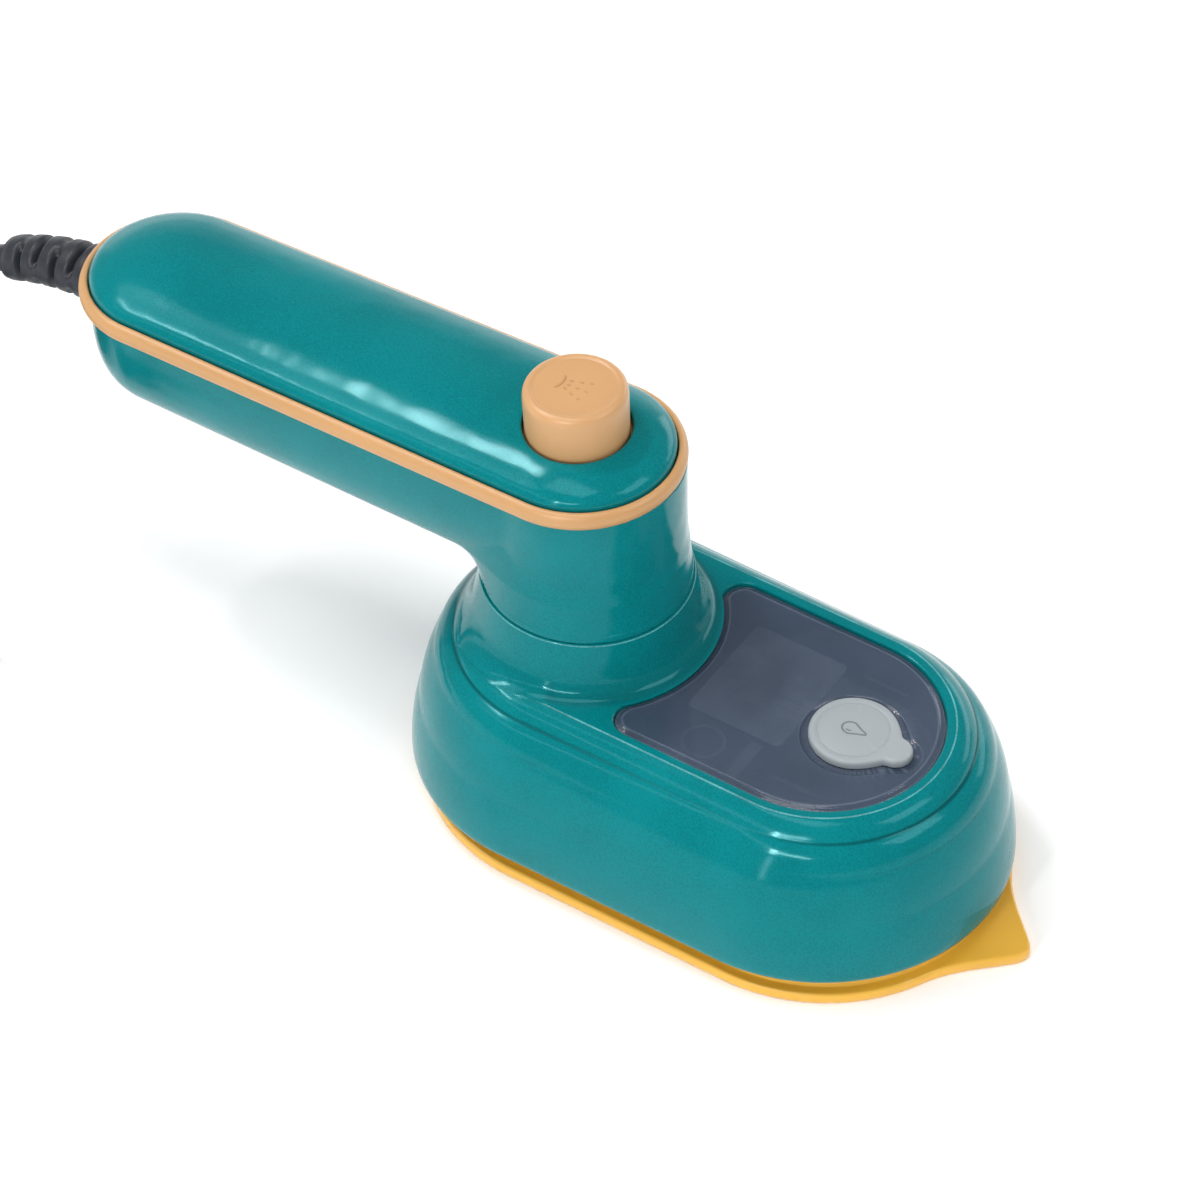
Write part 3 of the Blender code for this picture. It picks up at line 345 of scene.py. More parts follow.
def make_materials():
    teal = (0.0015, 0.180, 0.196)
    teal_worn = (0.02, 0.25, 0.265)
    tan = (0.55, 0.30, 0.122)
    made = {
        # shell_teal paints shade into the head's concave creases.
        "shell_teal": procedural("shell_teal", teal, teal_worn, 0.12, mottle=0.11, grain=2400.0,
                                 grain_depth=0.000002, ripple_depth=0.00005, speckle=3.6, crease_shade=0.85,
                                 sockets=dict(GLOSS_TEAL)),
        # Crest teal: a lighter teal painted on the head's crest band and the collar's top edge as a highlight line.
        "crest_highlight_teal": procedural("crest_highlight_teal", (0.10, 0.33, 0.35), (0.2, 0.5, 0.52), 0.12, mottle=0.3,
                                 mottle_scale=220.0, grain=2400.0, grain_depth=0.000002, speckle=2.0,
                                 sockets=dict(GLOSS_TEAL)),
        "handle_teal": procedural("handle_teal", teal, teal_worn, 0.14, mottle=0.11, grain=2400.0,
                                  grain_depth=0.000002, ripple_depth=0.00018, ripple_scale=120.0,
                                  speckle=3.6, sockets=dict(GLOSS_TEAL)),
        "trim_tan": procedural("trim_tan", tan, (0.68, 0.42, 0.20), 0.36, mottle=0.05,
                               grain_depth=0.00001),
        "button_tan": procedural("button_tan", (0.60, 0.335, 0.148), (0.70, 0.43, 0.21), 0.34, mottle=0.05,
                                 grain_depth=0.00001),
        "sole_gold": procedural("sole_gold", (0.87, 0.47, 0.045), (0.95, 0.62, 0.18), 0.33, mottle=0.06,
                                grain=1600.0, grain_depth=0.00001, edge_wear_and_highlight=0.6,
                                sockets={"Coat Weight": 0.25, "Coat Roughness": 0.15}),
        # Window smoke: its much lighter edge colour on a narrow pointiness range paints a highlight line round the
        # window's rim.
        "window_smoke": procedural("window_smoke", (0.056, 0.082, 0.132), (0.34, 0.40, 0.52), 0.1,
                                   mottle=0.12, grain_depth=0.000003, edges=(0.508, 0.535), edge_wear_and_highlight=0.7,
                                   sockets={"Alpha": 0.60, "Specular IOR Level": 0.5}),
        "plug_silicone": procedural("plug_silicone", (0.325, 0.36, 0.38), (0.42, 0.46, 0.48), 0.5,
                                    mottle=0.04, grain=2200.0, grain_depth=0.00002),
        "relief_rubber": procedural("relief_rubber", (0.022, 0.026, 0.034), (0.08, 0.085, 0.09), 0.42,
                                    grain=1800.0, grain_depth=0.00002, sockets={"Specular IOR Level": 0.35}),
        "cord_jacket": procedural("cord_jacket", (0.020, 0.023, 0.029), (0.07, 0.075, 0.08), 0.40,
                                  grain=1500.0, grain_depth=0.00002, sockets={"Specular IOR Level": 0.3}),
        "mains_plug": procedural("mains_plug", (0.022, 0.025, 0.030), (0.08, 0.085, 0.09), 0.38,
                                 grain=1800.0, grain_depth=0.00002, sockets={"Specular IOR Level": 0.3}),
        "pin_brass": procedural("pin_brass", (0.78, 0.76, 0.70), (0.9, 0.88, 0.84), 0.22, metallic=1.0,
                                grain=2600.0, grain_depth=0.000004),
        "pin_sleeve": procedural("pin_sleeve", (0.03, 0.03, 0.032), (0.09, 0.09, 0.09), 0.45),
        "cast_aluminium": procedural("cast_aluminium", (0.62, 0.62, 0.63), (0.85, 0.85, 0.86), 0.42,
                                     metallic=1.0, mottle=0.15, grain=1200.0, grain_depth=0.00008),
        "lid_steel": procedural("lid_steel", (0.52, 0.52, 0.53), (0.8, 0.8, 0.8), 0.28, metallic=1.0,
                                mottle=0.1, grain=2400.0),
        "screw_steel": procedural("screw_steel", (0.50, 0.50, 0.51), (0.82, 0.82, 0.82), 0.3, metallic=1.0,
                                  grain=2600.0),
        "element_steel": procedural("element_steel", (0.40, 0.37, 0.35), (0.6, 0.58, 0.55), 0.4,
                                    metallic=1.0, mottle=0.2, grain=1800.0),
        "spring_steel": procedural("spring_steel", (0.55, 0.55, 0.57), (0.85, 0.85, 0.86), 0.25,
                                   metallic=1.0, grain=2600.0),
        "valve_brass": procedural("valve_brass", (0.72, 0.50, 0.20), (0.9, 0.74, 0.42), 0.3, metallic=1.0,
                                  mottle=0.12, grain=1800.0),
        "tank_plastic": procedural("tank_plastic", (0.40, 0.44, 0.50), (0.6, 0.64, 0.7), 0.35,
                                   mottle=0.1, grain_depth=0.00001),
        "tube_silicone": procedural("tube_silicone", (0.6, 0.62, 0.62), (0.8, 0.8, 0.8), 0.4,
                                    sockets={"Subsurface Weight": 0.2}),
        "acetal_white": procedural("acetal_white", (0.72, 0.71, 0.67), (0.85, 0.84, 0.8), 0.4),
        "sleeve_white": procedural("sleeve_white", (0.66, 0.64, 0.58), (0.8, 0.78, 0.72), 0.7,
                                   grain=2600.0, grain_depth=0.00006),
        "wire_brown": procedural("wire_brown", (0.16, 0.07, 0.03), (0.3, 0.16, 0.1), 0.45),
        "wire_blue": procedural("wire_blue", (0.03, 0.10, 0.30), (0.1, 0.2, 0.45), 0.45),
        "dark_gap": procedural("dark_gap", (0.012, 0.014, 0.018), (0.03, 0.03, 0.04), 0.6),
        "engraved_tan": procedural("engraved_tan", (0.50, 0.265, 0.105), (0.5, 0.3, 0.14), 0.5),
        "engraved_grey": procedural("engraved_grey", (0.16, 0.18, 0.20), (0.3, 0.32, 0.34), 0.6),
        "label_film": procedural("label_film", (0.62, 0.66, 0.74), (0.8, 0.8, 0.84), 0.5, mottle=0.2,
                                 mottle_scale=160.0),
        "tie_band": procedural("tie_band", (0.03, 0.03, 0.032), (0.1, 0.1, 0.1), 0.7, grain=2600.0,
                               grain_depth=0.0001),
    }
    return made


def dress_cad_nodes(mats):
    """The carried-over CAD nodes keep their shapes and take the finish of their material slot."""
    for part in frame["record"]["subparts"]:
        for slot in frame["nodes"][part["node"]].material_slots:
            slot.material = mats[part["material_slot"]]


# ------------------------------------------------------------------ cord
RELIEF_START = Vector((-114.4, 0.0, 70.1))
RELIEF_END = Vector((-136.4, 0.0, 63.8))
CORD_R = 2.725
COIL_U, COIL_Y = -198.0, -18.0
SLOT_IN, SLOT_STEP, SLOT_LOW = 24.4, 5.65, 3.2


def relief_path(share):
    """Middle line of the strain relief: nearly level at first, then drooping."""
    return RELIEF_START.lerp(RELIEF_END, share) + Vector((0, 0, 1.1 * math.sin(math.pi * share)))


def eased(share):
    share = min(1.0, max(0.0, share))
    return share * share * (3 - 2 * share)


def coil_spot(turn):
    """Point of the winding at an angle in degrees, counted on from where the lead arrives."""
    inner, step, low = SLOT_IN, SLOT_STEP, SLOT_LOW
    seats = [(inner, low + 2 * step + 5.6)]
    seats += [(inner, low + 2 * step), (inner, low + step), (inner, low)]
    seats += [(inner + step, low), (inner + step, low + step), (inner + step, low + 2 * step)]
    seats += [(inner + 2 * step, low + 2 * step), (inner + 2 * step, low + step), (inner + 2 * step, low)]
    starts = [90, 450, 810, 1140, 1470, 1830, 2160, 2490, 2850]
    radius, height = seats[0]
    for start, (r0, z0), (r1, z1) in zip(starts, seats, seats[1:]):
        share = eased((turn - start) / 110)
        radius += (r1 - r0) * share
        height += (z1 - z0) * share
    a = math.radians(turn)
    return Vector((COIL_U + radius * math.cos(a), COIL_Y + radius * math.sin(a), height))


def make_cord(mats):
    exit_spot = relief_path(1.0)
    way = (relief_path(1.0) - relief_path(0.97)).normalized()
    lead = [exit_spot + way * 0.3, (-141.5, 0, 60.9), (-146.5, 0.1, 57.2), (-151.0, 0.4, 53.0),
            (-155.2, 0.9, 48.4), (-159.2, 1.5, 43.6), (-163.2, 2.2, 38.9), (-167.4, 3.0, 34.4),
            (-171.9, 3.8, 30.4), (-176.8, 4.6, 27.0), (-182.1, 5.3, 24.2), (-187.6, 5.9, 22.1),
            (-193.0, 6.35, 20.7), coil_spot(90)]
    winding = [coil_spot(90 + 15 * k) for k in range(1, 204)]
    tail = [(COIL_U + 6, COIL_Y - 35.7, 3.2), (COIL_U + 13, COIL_Y - 35.7, 3.25), (COIL_U + 20.6, COIL_Y - 35.7, 3.5),
            (COIL_U + 27, COIL_Y - 35.7, 4.5), (COIL_U + 33, COIL_Y - 35.6, 5.9), (-160.0, COIL_Y - 35.6, 6.4)]
    route = smooth_route(lead + winding + [coil_spot(3150)] + tail, per=3)
    curve = bpy.data.curves.new("cord", "CURVE")
    curve.dimensions = "3D"
    curve.bevel_depth = CORD_R * MM
    curve.bevel_resolution = 6
    curve.use_fill_caps = True
    spline = curve.splines.new("POLY")
    spline.points.add(len(route) - 1)
    for spot, target in zip(route, spline.points):
        target.co = ((spot.x + AXIS) * MM, spot.y * MM, spot.z * MM, 1.0)
    cord = place("cord", curve, "handle", [mats["cord_jacket"]],
                 ("power_cord", "cord_coil", "cord_tail"))
    length = sum((b - a).length for a, b in zip(route, route[1:])) * MM
    return cord, exit_spot, length


def make_strain_relief(mats):
    """Bend-relief boot: a collar in the shell, then ribs with staggered slots between them."""
    shape = Shape()
    line = [relief_path(k / 60) for k in range(-22, 61)]
    frames = tube_frames(line)
    span = (RELIEF_END - RELIEF_START).length
    count = 48
    rows = []
    ribs = 5
    for i, (spot, side, up, ahead) in enumerate(frames):
        share = (i - 22) / 60
        along = share * span
        if share < 0.0:
            reach = 4.9 if along > -6.8 else 6.5
            slot_depth = 0.0
        else:
            phase = share * ribs % 1.0
            reach = 5.85 - 1.3 * share
            edge = min(phase, 1 - phase) * span / ribs
            slot_depth = 1.5 * (1 - eased((edge - 0.55) / 0.35))
            reach -= 0.25 * (1 - eased(edge / 1.5))
        ring = []
        order = int(round(share * ribs))
        for k in range(count):
            turn = 2 * math.pi * k / count
            bridge = math.cos(2 * turn + (math.pi if order % 2 else 0.0))
            depth = slot_depth * (1 - eased((bridge - 0.55) / 0.3)) if 0 < order < ribs else 0.0
            lean = 0.9 * math.cos(turn) * (0.0 if share < 0 else 1.0)
            spread = reach - depth
            ring.append(spot + side * spread * math.sin(turn) + up * spread * math.cos(turn) + ahead * lean)
        rows.append(ring)
    rows.append([spot_in(p, line[-1], 0.55) for p in rows[-1]])
    ids = shape.skin(rows)
    shape.fan(ids[0], line[0])
    shape.fan(ids[-1], line[-1])
    return build("strain_relief_boot", shape, "handle", [mats["relief_rubber"]],
                 ("strain_relief",), sharp=55.0)


def spot_in(point, middle, keep):
    return middle + (Vector(point) - middle) * keep


def make_mains_plug(mats):
    """Flat two-pin plug with finger grips, and its two round pins."""
    y = COIL_Y - 35.6
    shape = Shape()
    stations = [(-0.4, 3.3, 3.3, 6.4), (0.0, 3.6, 3.6, 6.4), (3.0, 4.1, 3.9, 6.5), (5.0, 4.6, 4.3, 6.7),
                (7.5, 5.5, 4.7, 6.8), (10.0, 7.3, 5.4, 6.9), (13.0, 10.3, 6.4, 7.0), (15.5, 12.0, 6.75, 7.0),
                (18.0, 12.7, 6.9, 7.0), (20.0, 12.85, 6.9, 7.0), (20.6, 12.5, 6.5, 7.0), (21.6, 12.5, 6.5, 7.0),
                (22.2, 12.9, 6.9, 7.0), (23.6, 12.9, 6.9, 7.0), (24.2, 12.5, 6.5, 7.0), (25.2, 12.5, 6.5, 7.0),
                (25.8, 12.9, 6.9, 7.0), (27.6, 12.9, 6.85, 7.0), (28.6, 12.5, 6.5, 7.0), (29.0, 11.9, 6.0, 7.0)]
    rings = []
    turn = np.linspace(0, 2 * math.pi, 64, endpoint=False)
    for along, half_w, half_h, z in stations:
        square = 2.0 + 1.4 * eased((along - 6) / 8)
        c, s = np.cos(turn), np.sin(turn)
        across = half_w * np.sign(c) * np.abs(c) ** (2 / square)
        up = half_h * np.sign(s) * np.abs(s) ** (2 / square)
        rings.append(np.column_stack([np.full(64, -160.0 + along), y + across, z + up]))
    rows = shape.skin(rings)
    shape.fan(rows[0], (-160.4, y, 6.4))
    shape.fan(rows[-1], (-131.0, y, 7.0))
    plug = build("mains_plug_body", shape, "handle", [mats["mains_plug"]], ("plug_body",), sharp=50.0)
    pins = []
    for side, node_name in ((1, "plug_pin_left"), (-1, "plug_pin_right")):
        pin = Shape()
        profile = [(0.0, 1.2), (0.0, 2.0), (9.6, 2.0), (9.9, 1.85), (16.6, 1.85), (17.6, 1.7), (18.3, 1.25), (18.6, 0.6)]
        rings = []
        for along, radius in profile:
            rings.append([(-130.7 + along, y + 9.3 * side + radius * math.cos(t), 7.0 + radius * math.sin(t))
                          for t in turn[::2]])
        rows = [pin.add(ring) for ring in rings]
        pin.bridge(rows[:3], slot=1)
        pin.bridge(rows[2:], slot=0)
        pin.fan(rows[-1], (-112.0, y + 9.3 * side, 7.0))
        pin.fan(rows[0], (-130.7, y + 9.3 * side, 7.0), slot=1)
        pins.append(build(node_name + "_round", pin, "handle",
                          [mats["pin_brass"], mats["pin_sleeve"]], (node_name,)))
    return plug, pins


def make_cord_tie(mats):
    """Band that holds the coil together on its far side."""
    shape = Shape()
    middle = SLOT_IN + SLOT_STEP
    half_w, half_h, corner, thick = 9.0, 8.6, 3.2, 0.5
    rings = []
    outline = []
    for quarter in range(4):
        sx, sz = ((1, 1), (-1, 1), (-1, -1), (1, -1))[quarter]
        for k in range(7):
            a = math.radians(90 * quarter + 15 * k)
            outline.append((sx * (half_w - corner) + corner * math.cos(a), sz * (half_h - corner) + corner * math.sin(a),
                            math.cos(a), math.sin(a)))
    centre = SLOT_LOW + SLOT_STEP
    for along, out in ((-5.0, 0.0), (-5.0, thick), (-4.6, thick + 0.15), (4.6, thick + 0.15), (5.0, thick), (5.0, 0.0)):
        ring = []
        for w, h, nw, nh in outline:
            z = max(0.02 if out else 0.3, centre + h + nh * (out - 0.1))
            radius = middle + w + nw * (out - 0.1)
            a = math.radians(180) + along / middle
            ring.append((COIL_U + radius * math.cos(a), COIL_Y + radius * math.sin(a), z))
        rings.append(ring)
    shape.skin(rings + [rings[0]])
    return build("cord_tie", shape, "handle", [mats["tie_band"]])


# ------------------------------------------------------------------ head
CREASES = [(25.7, 39.17), (29.6, 36.1), (33.5, 30.9), (36.4, 19.9), (38.15, 8.4)]
BULGES = [0.62, 0.85, 0.50, 0.36]


def tier_profile():
    """Distance out and height down the tiered flank, from the crest to the bottom edge."""
    rows = [np.array([(25.05, 39.2), (25.4, 39.2)])]
    for start, end, bulge in zip(CREASES, CREASES[1:], BULGES):
        rows.append(bulged(start, end, bulge, 12))
    rows.append(np.array([(38.15, 8.4), (38.12, 7.2), (38.0, 6.6), (37.6, 6.25)]))
    return np.concatenate(rows)


TIER = tier_profile()


def tier_weight(share, nx):
    """How strongly the tiers show: full at nose and tail, faint towards the front of each side."""
    side = 0.16 + 0.50 * np.asarray(share, float) ** 1.2
    return side + (1 - side) * np.abs(nx) ** 0.95


def flank_radius(z, weight):
    """Distance out from the middle line at a height, for a tier weight."""
    u = np.clip((z - 8.4) / 30.8, 0, 1)
    plain = 25.8 + 12.35 * (1 - u ** 2.7) ** (1 / 1.12)
    tiered = np.interp(-np.asarray(z, float), -TIER[:, 1], TIER[:, 0])
    return tiered * weight + np.where(np.asarray(z) < 8.4, tiered, plain) * (1 - weight)


def window_loop(grow, z):
    """Window outline: front half circle, straight sides, round notch for the collar."""
    half, notch, corner = 23.5 + grow, 26.2 - grow, 4.4 + grow
    y = 23.5 - 4.4
    x = math.sqrt((26.2 + 4.4) ** 2 - y * y)
    touch = math.atan2(y, x)
    loop = [(FRONT_U + half * math.cos(a), half * math.sin(a)) for a in np.linspace(-math.pi / 2, math.pi / 2, 73)]
    loop += [(FRONT_U + (x - FRONT_U) * k / 16, half) for k in range(1, 16)]
    loop += [(x + corner * math.cos(a), y + corner * math.sin(a))
             for a in np.linspace(math.pi / 2, math.pi + touch, 20)]
    loop += [(notch * math.cos(a), notch * math.sin(a)) for a in np.linspace(touch, -touch, 34)[1:-1]]
    loop += [(x + corner * math.cos(a), -y + corner * math.sin(a))
             for a in np.linspace(math.pi - touch, 1.5 * math.pi, 20)]
    loop += [(x + (FRONT_U - x) * k / 16, -half) for k in range(1, 16)]
    return [(u, y, z) for u, y in loop]


def flank_height(radius, weight):
    heights = np.linspace(39.2, 28.0, 120)
    return float(np.interp(radius, flank_radius(heights, weight), heights))


def collar_foot(turn):
    """Fillet from the collar's cone to the deck or flank, in the upright plane at one angle."""
    def ground(reach):
        u, y = reach * math.cos(turn), reach * math.sin(turn)
        middle = min(max(u, REAR_U), FRONT_U)
        share = (FRONT_U - middle) / (FRONT_U - REAR_U)
        radius = math.hypot(u - middle, y)
        if radius <= 25.2:
            return 39.2
        return flank_height(radius, float(tier_weight(share, (u - middle) / radius)))

    def cone(z):
        return 20.98 + (COLLAR_TOP - z) * 0.19

    z = 39.2
    for _ in range(12):
        z = ground(cone(z))
    foot = np.array([cone(z), z])
    top = np.array([cone(z + 5.2), z + 5.2])
    end_r = foot[0] + 3.2
    end = np.array([end_r, ground(end_r)])
    slope = (ground(end_r + 0.3) - ground(end_r - 0.3)) / 0.6
    back = np.array([1.0, slope]) / math.hypot(1, slope)
    b1 = top + (foot - top) * 0.68
    b2 = end - back * 2.1
    rows = []
    for t in np.linspace(0, 1, 15):
        spot = (1 - t) ** 3 * top + 3 * t * (1 - t) ** 2 * b1 + 3 * t * t * (1 - t) * b2 + t ** 3 * end
        rows.append(spot)
    rows[-1] = rows[-1] - np.array([-0.15, 0.03])
    return rows


def make_head_shell(mats):
    shape = Shape()
    columns = capsule(FRONT_U, REAR_U, 0.0, 0.0, arc=96, side=56)
    middle, nx, ny, _, share = columns
    weight = tier_weight(share, nx)
    rings = []
    for radius, z in TIER:
        reach = np.where(radius < 25.6, radius, flank_radius(z, weight))
        if z < 8.0:
            reach = np.full(len(middle), radius)
        rings.append(np.column_stack([middle + nx * reach, ny * reach, np.full(len(middle), z)]))
    for radius, z in ((36.2, 6.2), (35.8, 6.6), (35.7, 12.0)):
        rings.append(np.column_stack([middle + nx * radius, ny * radius, np.full(len(middle), z)]))
    rows = [shape.add(ring) for ring in rings]
    shape.bridge(rows[:2])
    # The crest band takes the lighter crest teal, a painted highlight line along the deck's edge.
    shape.bridge(rows[1:3], slot=1)
    shape.bridge(rows[2:])
    lip = shape.skin([window_loop(0.62, 39.2), window_loop(0.3, 39.08), window_loop(0.2, 38.8),
                      window_loop(0.2, 36.6)])
    bore = shape.add(circle(19.0, 39.2, count=72))
    shape.fill(rows[0], [lip[0], bore])
    turns = np.linspace(0, 2 * math.pi, 180, endpoint=False)
    feet = [collar_foot(a) for a in turns]
    rings = []
    for radius, z in ((16.6, 47.0), (16.6, 50.3), (16.9, 50.5), (20.0, 50.5), (20.2, 50.66), (20.72, 50.66),
                      (20.86, 50.58), (20.95, 50.4), (20.98, 50.1)):
        rings.append(circle(radius, z, count=180))
    for k in range(15):
        rings.append([(f[k][0] * math.cos(a), f[k][0] * math.sin(a), f[k][1]) for f, a in zip(feet, turns)])
    rows = [shape.add(ring) for ring in rings]
    shape.bridge(rows[:7])
    # The collar's top edge takes the same lighter teal, a painted highlight line.
    shape.bridge(rows[6:8], slot=1)
    shape.bridge(rows[7:])
    return build("head_shell_moulding", shape, "head", [mats["shell_teal"], mats["crest_highlight_teal"]],
                 ("head_shell",), sharp=50.0)


def tab_loop(radius, tab_r, z, grow=0.0, sides=72):
    """Round disc drawn out to a round-ended tab, softened where the tab leaves the disc."""
    radius, tab_r = radius + grow, tab_r + grow
    reach = 9.3
    turns = np.linspace(0, 2 * math.pi, sides * 2, endpoint=False)
    loop = []
    for a in turns:
        c, s = math.cos(a), math.sin(a)
        inside = tab_r ** 2 - (reach * s) ** 2
        tab = reach * c + math.sqrt(inside) if inside > 0 and c > 0 else 0.0
        waist = 0.0
        lean = math.acos((radius - tab_r) / reach)
        if abs(math.atan2(s, c)) < lean:
            waist = radius / max(0.2, math.cos(abs(math.atan2(s, c)) - lean))
            edge_angle = math.atan2(tab_r * math.sin(lean), reach + tab_r * math.cos(lean))
            if abs(math.atan2(s, c)) < edge_angle:
                waist = tab
        hollow = max(radius, tab)
        full = max(hollow, waist)
        mix = hollow + (full - hollow) * 0.42
        loop.append((PLUG_U + mix * c, mix * s, z))
    return loop


def make_window(mats):
    shape = Shape()
    rows = shape.skin([window_loop(-0.9, 37.2), window_loop(-0.1, 37.2), window_loop(0.0, 37.4),
                       window_loop(0.0, 38.25), window_loop(-0.08, 38.42), window_loop(-0.3, 38.55),
                       window_loop(-0.75, 38.68), window_loop(-1.1, 38.84), window_loop(-1.3, 39.0),
                       window_loop(-1.5, 39.05), window_loop(-1.75, 38.99), window_loop(-2.1, 38.93)])
    recess = shape.skin([tab_loop(8.75, 3.3, 38.93, 2.05), tab_loop(8.75, 3.3, 38.86, 1.72),
                         tab_loop(8.75, 3.3, 38.62, 1.5), tab_loop(8.75, 3.3, 38.45, 1.2)])
    shape.fill(rows[-1], [recess[0]])
    mouth = shape.skin([circle(6.5, 38.45, PLUG_U, count=72), circle(6.5, 37.2, PLUG_U, count=72)])
    shape.fill(recess[-1], [mouth[0]])
    shape.fill(rows[0], [mouth[-1]])
    return build("tank_window_moulding", shape, "head", [mats["window_smoke"]],
                 ("tank_window",), sharp=50.0)


def strip(shape, line, width, z, rise, slot=0):
    """Raised rounded mark along a line of (u, y) points."""
    rings = []
    last = len(line) - 1
    for i, (u, y) in enumerate(line):
        a = np.array(line[max(i - 1, 0)])
        b = np.array(line[min(i + 1, last)])
        along = (b - a) / np.hypot(*(b - a))
        across = np.array([-along[1], along[0]])
        taper = 0.45 if i in (0, last) else 1.0
        ring = []
        for k in range(9):
            turn = math.pi * k / 8
            off = across * math.cos(turn) * width / 2 * taper
            ring.append((u + off[0], y + off[1], z - 0.02 + rise * math.sin(turn) * taper))
        rings.append(ring)
    shape.skin(rings, wrap=False, slot=slot)


def make_fill_plug(mats):
    shape = Shape()
    top = 40.6
    rings = [tab_loop(8.75, 3.3, 38.75, -0.5), tab_loop(8.75, 3.3, 38.75, -0.1), tab_loop(8.75, 3.3, 38.95, 0.0),
             tab_loop(8.75, 3.3, 39.9, 0.0), tab_loop(8.75, 3.3, 40.25, -0.1), tab_loop(8.75, 3.3, 40.48, -0.33),
             tab_loop(8.75, 3.3, 40.58, -0.65), tab_loop(8.75, 3.3, top, -1.0)]
    rows = shape.skin(rings)
    groove = [(7.35, top), (7.25, top - 0.06), (7.15, top - 0.16), (7.0, top - 0.18), (6.85, top - 0.16),
              (6.75, top - 0.06), (6.65, top), (3.0, top - 0.02)]
    ring = turned(shape, groove, PLUG_U, count=144)
    shape.fill(rows[-1], [ring[0]])
    shape.fan(ring[-1], (PLUG_U, 0.0, top - 0.02))
    stem = turned(shape, [(6.2, 38.75), (6.2, 35.0), (5.9, 34.6), (4.5, 33.4)], PLUG_U, count=48)
    shape.fan(stem[-1], (PLUG_U, 0.0, 33.4))
    shape.fill(rows[0], [stem[0]])
    drop = []
    for k in range(41):
        t = 2 * math.pi * k / 40
        r = 1.9 * (1.0 + 0.75 * max(0.0, math.cos(t)) ** 5)
        drop.append((PLUG_U + r * math.cos(t) - 0.6, 1.55 * math.sin(t) * (1 - 0.35 * max(0.0, math.cos(t)))))
    strip(shape, drop, 0.42, top - 0.02, 0.10, slot=1)
    strip(shape, [(PLUG_U - 1.5 + 0.25 * k, -0.75 + 0.03 * (k - 2) ** 2) for k in range(6)], 0.36, top - 0.02,
          0.09, slot=1)
    return build("fill_plug_moulding", shape, "filler",
                 [mats["plug_silicone"], mats["engraved_grey"]], ("fill_plug",), sharp=50.0)


def make_tank_detail(mats):
    """What shows faintly through the window: blank label, ribs, a round valve seat and a post."""
    shape = Shape()
    floor = 36.93
    label = []
    for cx, cy, start in ((9.2, 11.6, 0), (-9.2, 11.6, 90), (-9.2, -11.6, 180), (9.2, -11.6, 270)):
        label += [(cx + 1.2 * math.cos(math.radians(a)), cy + 1.2 * math.sin(math.radians(a)))
                  for a in range(start, start + 91, 15)]
    rings = [[(39.0 + u * k, 3.8 + y * k, z) for u, y in label]
             for k, z in ((1.0, floor), (1.0, floor + 0.12), (0.97, floor + 0.15))]
    rows = shape.skin(rings)
    shape.fan(rows[-1], (39.0, 3.8, floor + 0.15))
    post = Shape()
    for u, y, w, h, tall in ((45.5, -15.5, 1.3, 5.0, 0.2), (57.5, -16.0, 5.0, 0.5, 0.2), (58.0, 16.0, 5.0, 0.5, 0.2)):
        box = [(u - w, y - h), (u + w, y - h), (u + w, y + h), (u - w, y + h)]
        rows = post.skin([[(a, b, floor) for a, b in box], [(a, b, floor + tall) for a, b in box]])
        post.face(rows[-1])
    ring = [(4.4, floor), (4.4, floor + 0.2), (3.8, floor + 0.2), (3.8, floor)]
    turned(post, ring, 36.5, -15.5, 48)
    build("tank_label_blank", shape, "head", [mats["label_film"]])
    build("tank_ribs", post, "head", [mats["tank_plastic"]])


# ------------------------------------------------------------------ soleplate
def nose_loop(radius, tip_u, z):
    """Soleplate outline: a stadium whose front is drawn out to a blunted point on hollow flanks."""
    rear, front, lean = 5.7, 54.8, math.radians(27)
    columns = capsule(front, rear, radius, radius, arc=192, side=48)
    ring = capsule_ring(columns, 0.0, z)
    loop = []
    for u, y, _ in ring:
        angle = math.atan2(y, u - front)
        if u > front and abs(angle) < lean:
            t = 1 - abs(angle) / lean
            start = np.array([math.cos(lean), math.sin(lean)]) * radius
            a = start + np.array([math.sin(lean), -math.cos(lean)]) * radius * 0.22
            end = np.array([tip_u + 1.0 - front, 0.0])
            b = end + np.array([-0.66, 0.75]) * radius * 0.24
            spot = (1 - t) ** 3 * start + 3 * t * (1 - t) ** 2 * a + 3 * t * t * (1 - t) * b + t ** 3 * end
            u, y = float(smooth_min(front + spot[0], tip_u, 1.6)), math.copysign(spot[1], angle)
        loop.append((u, y, z))
    return loop


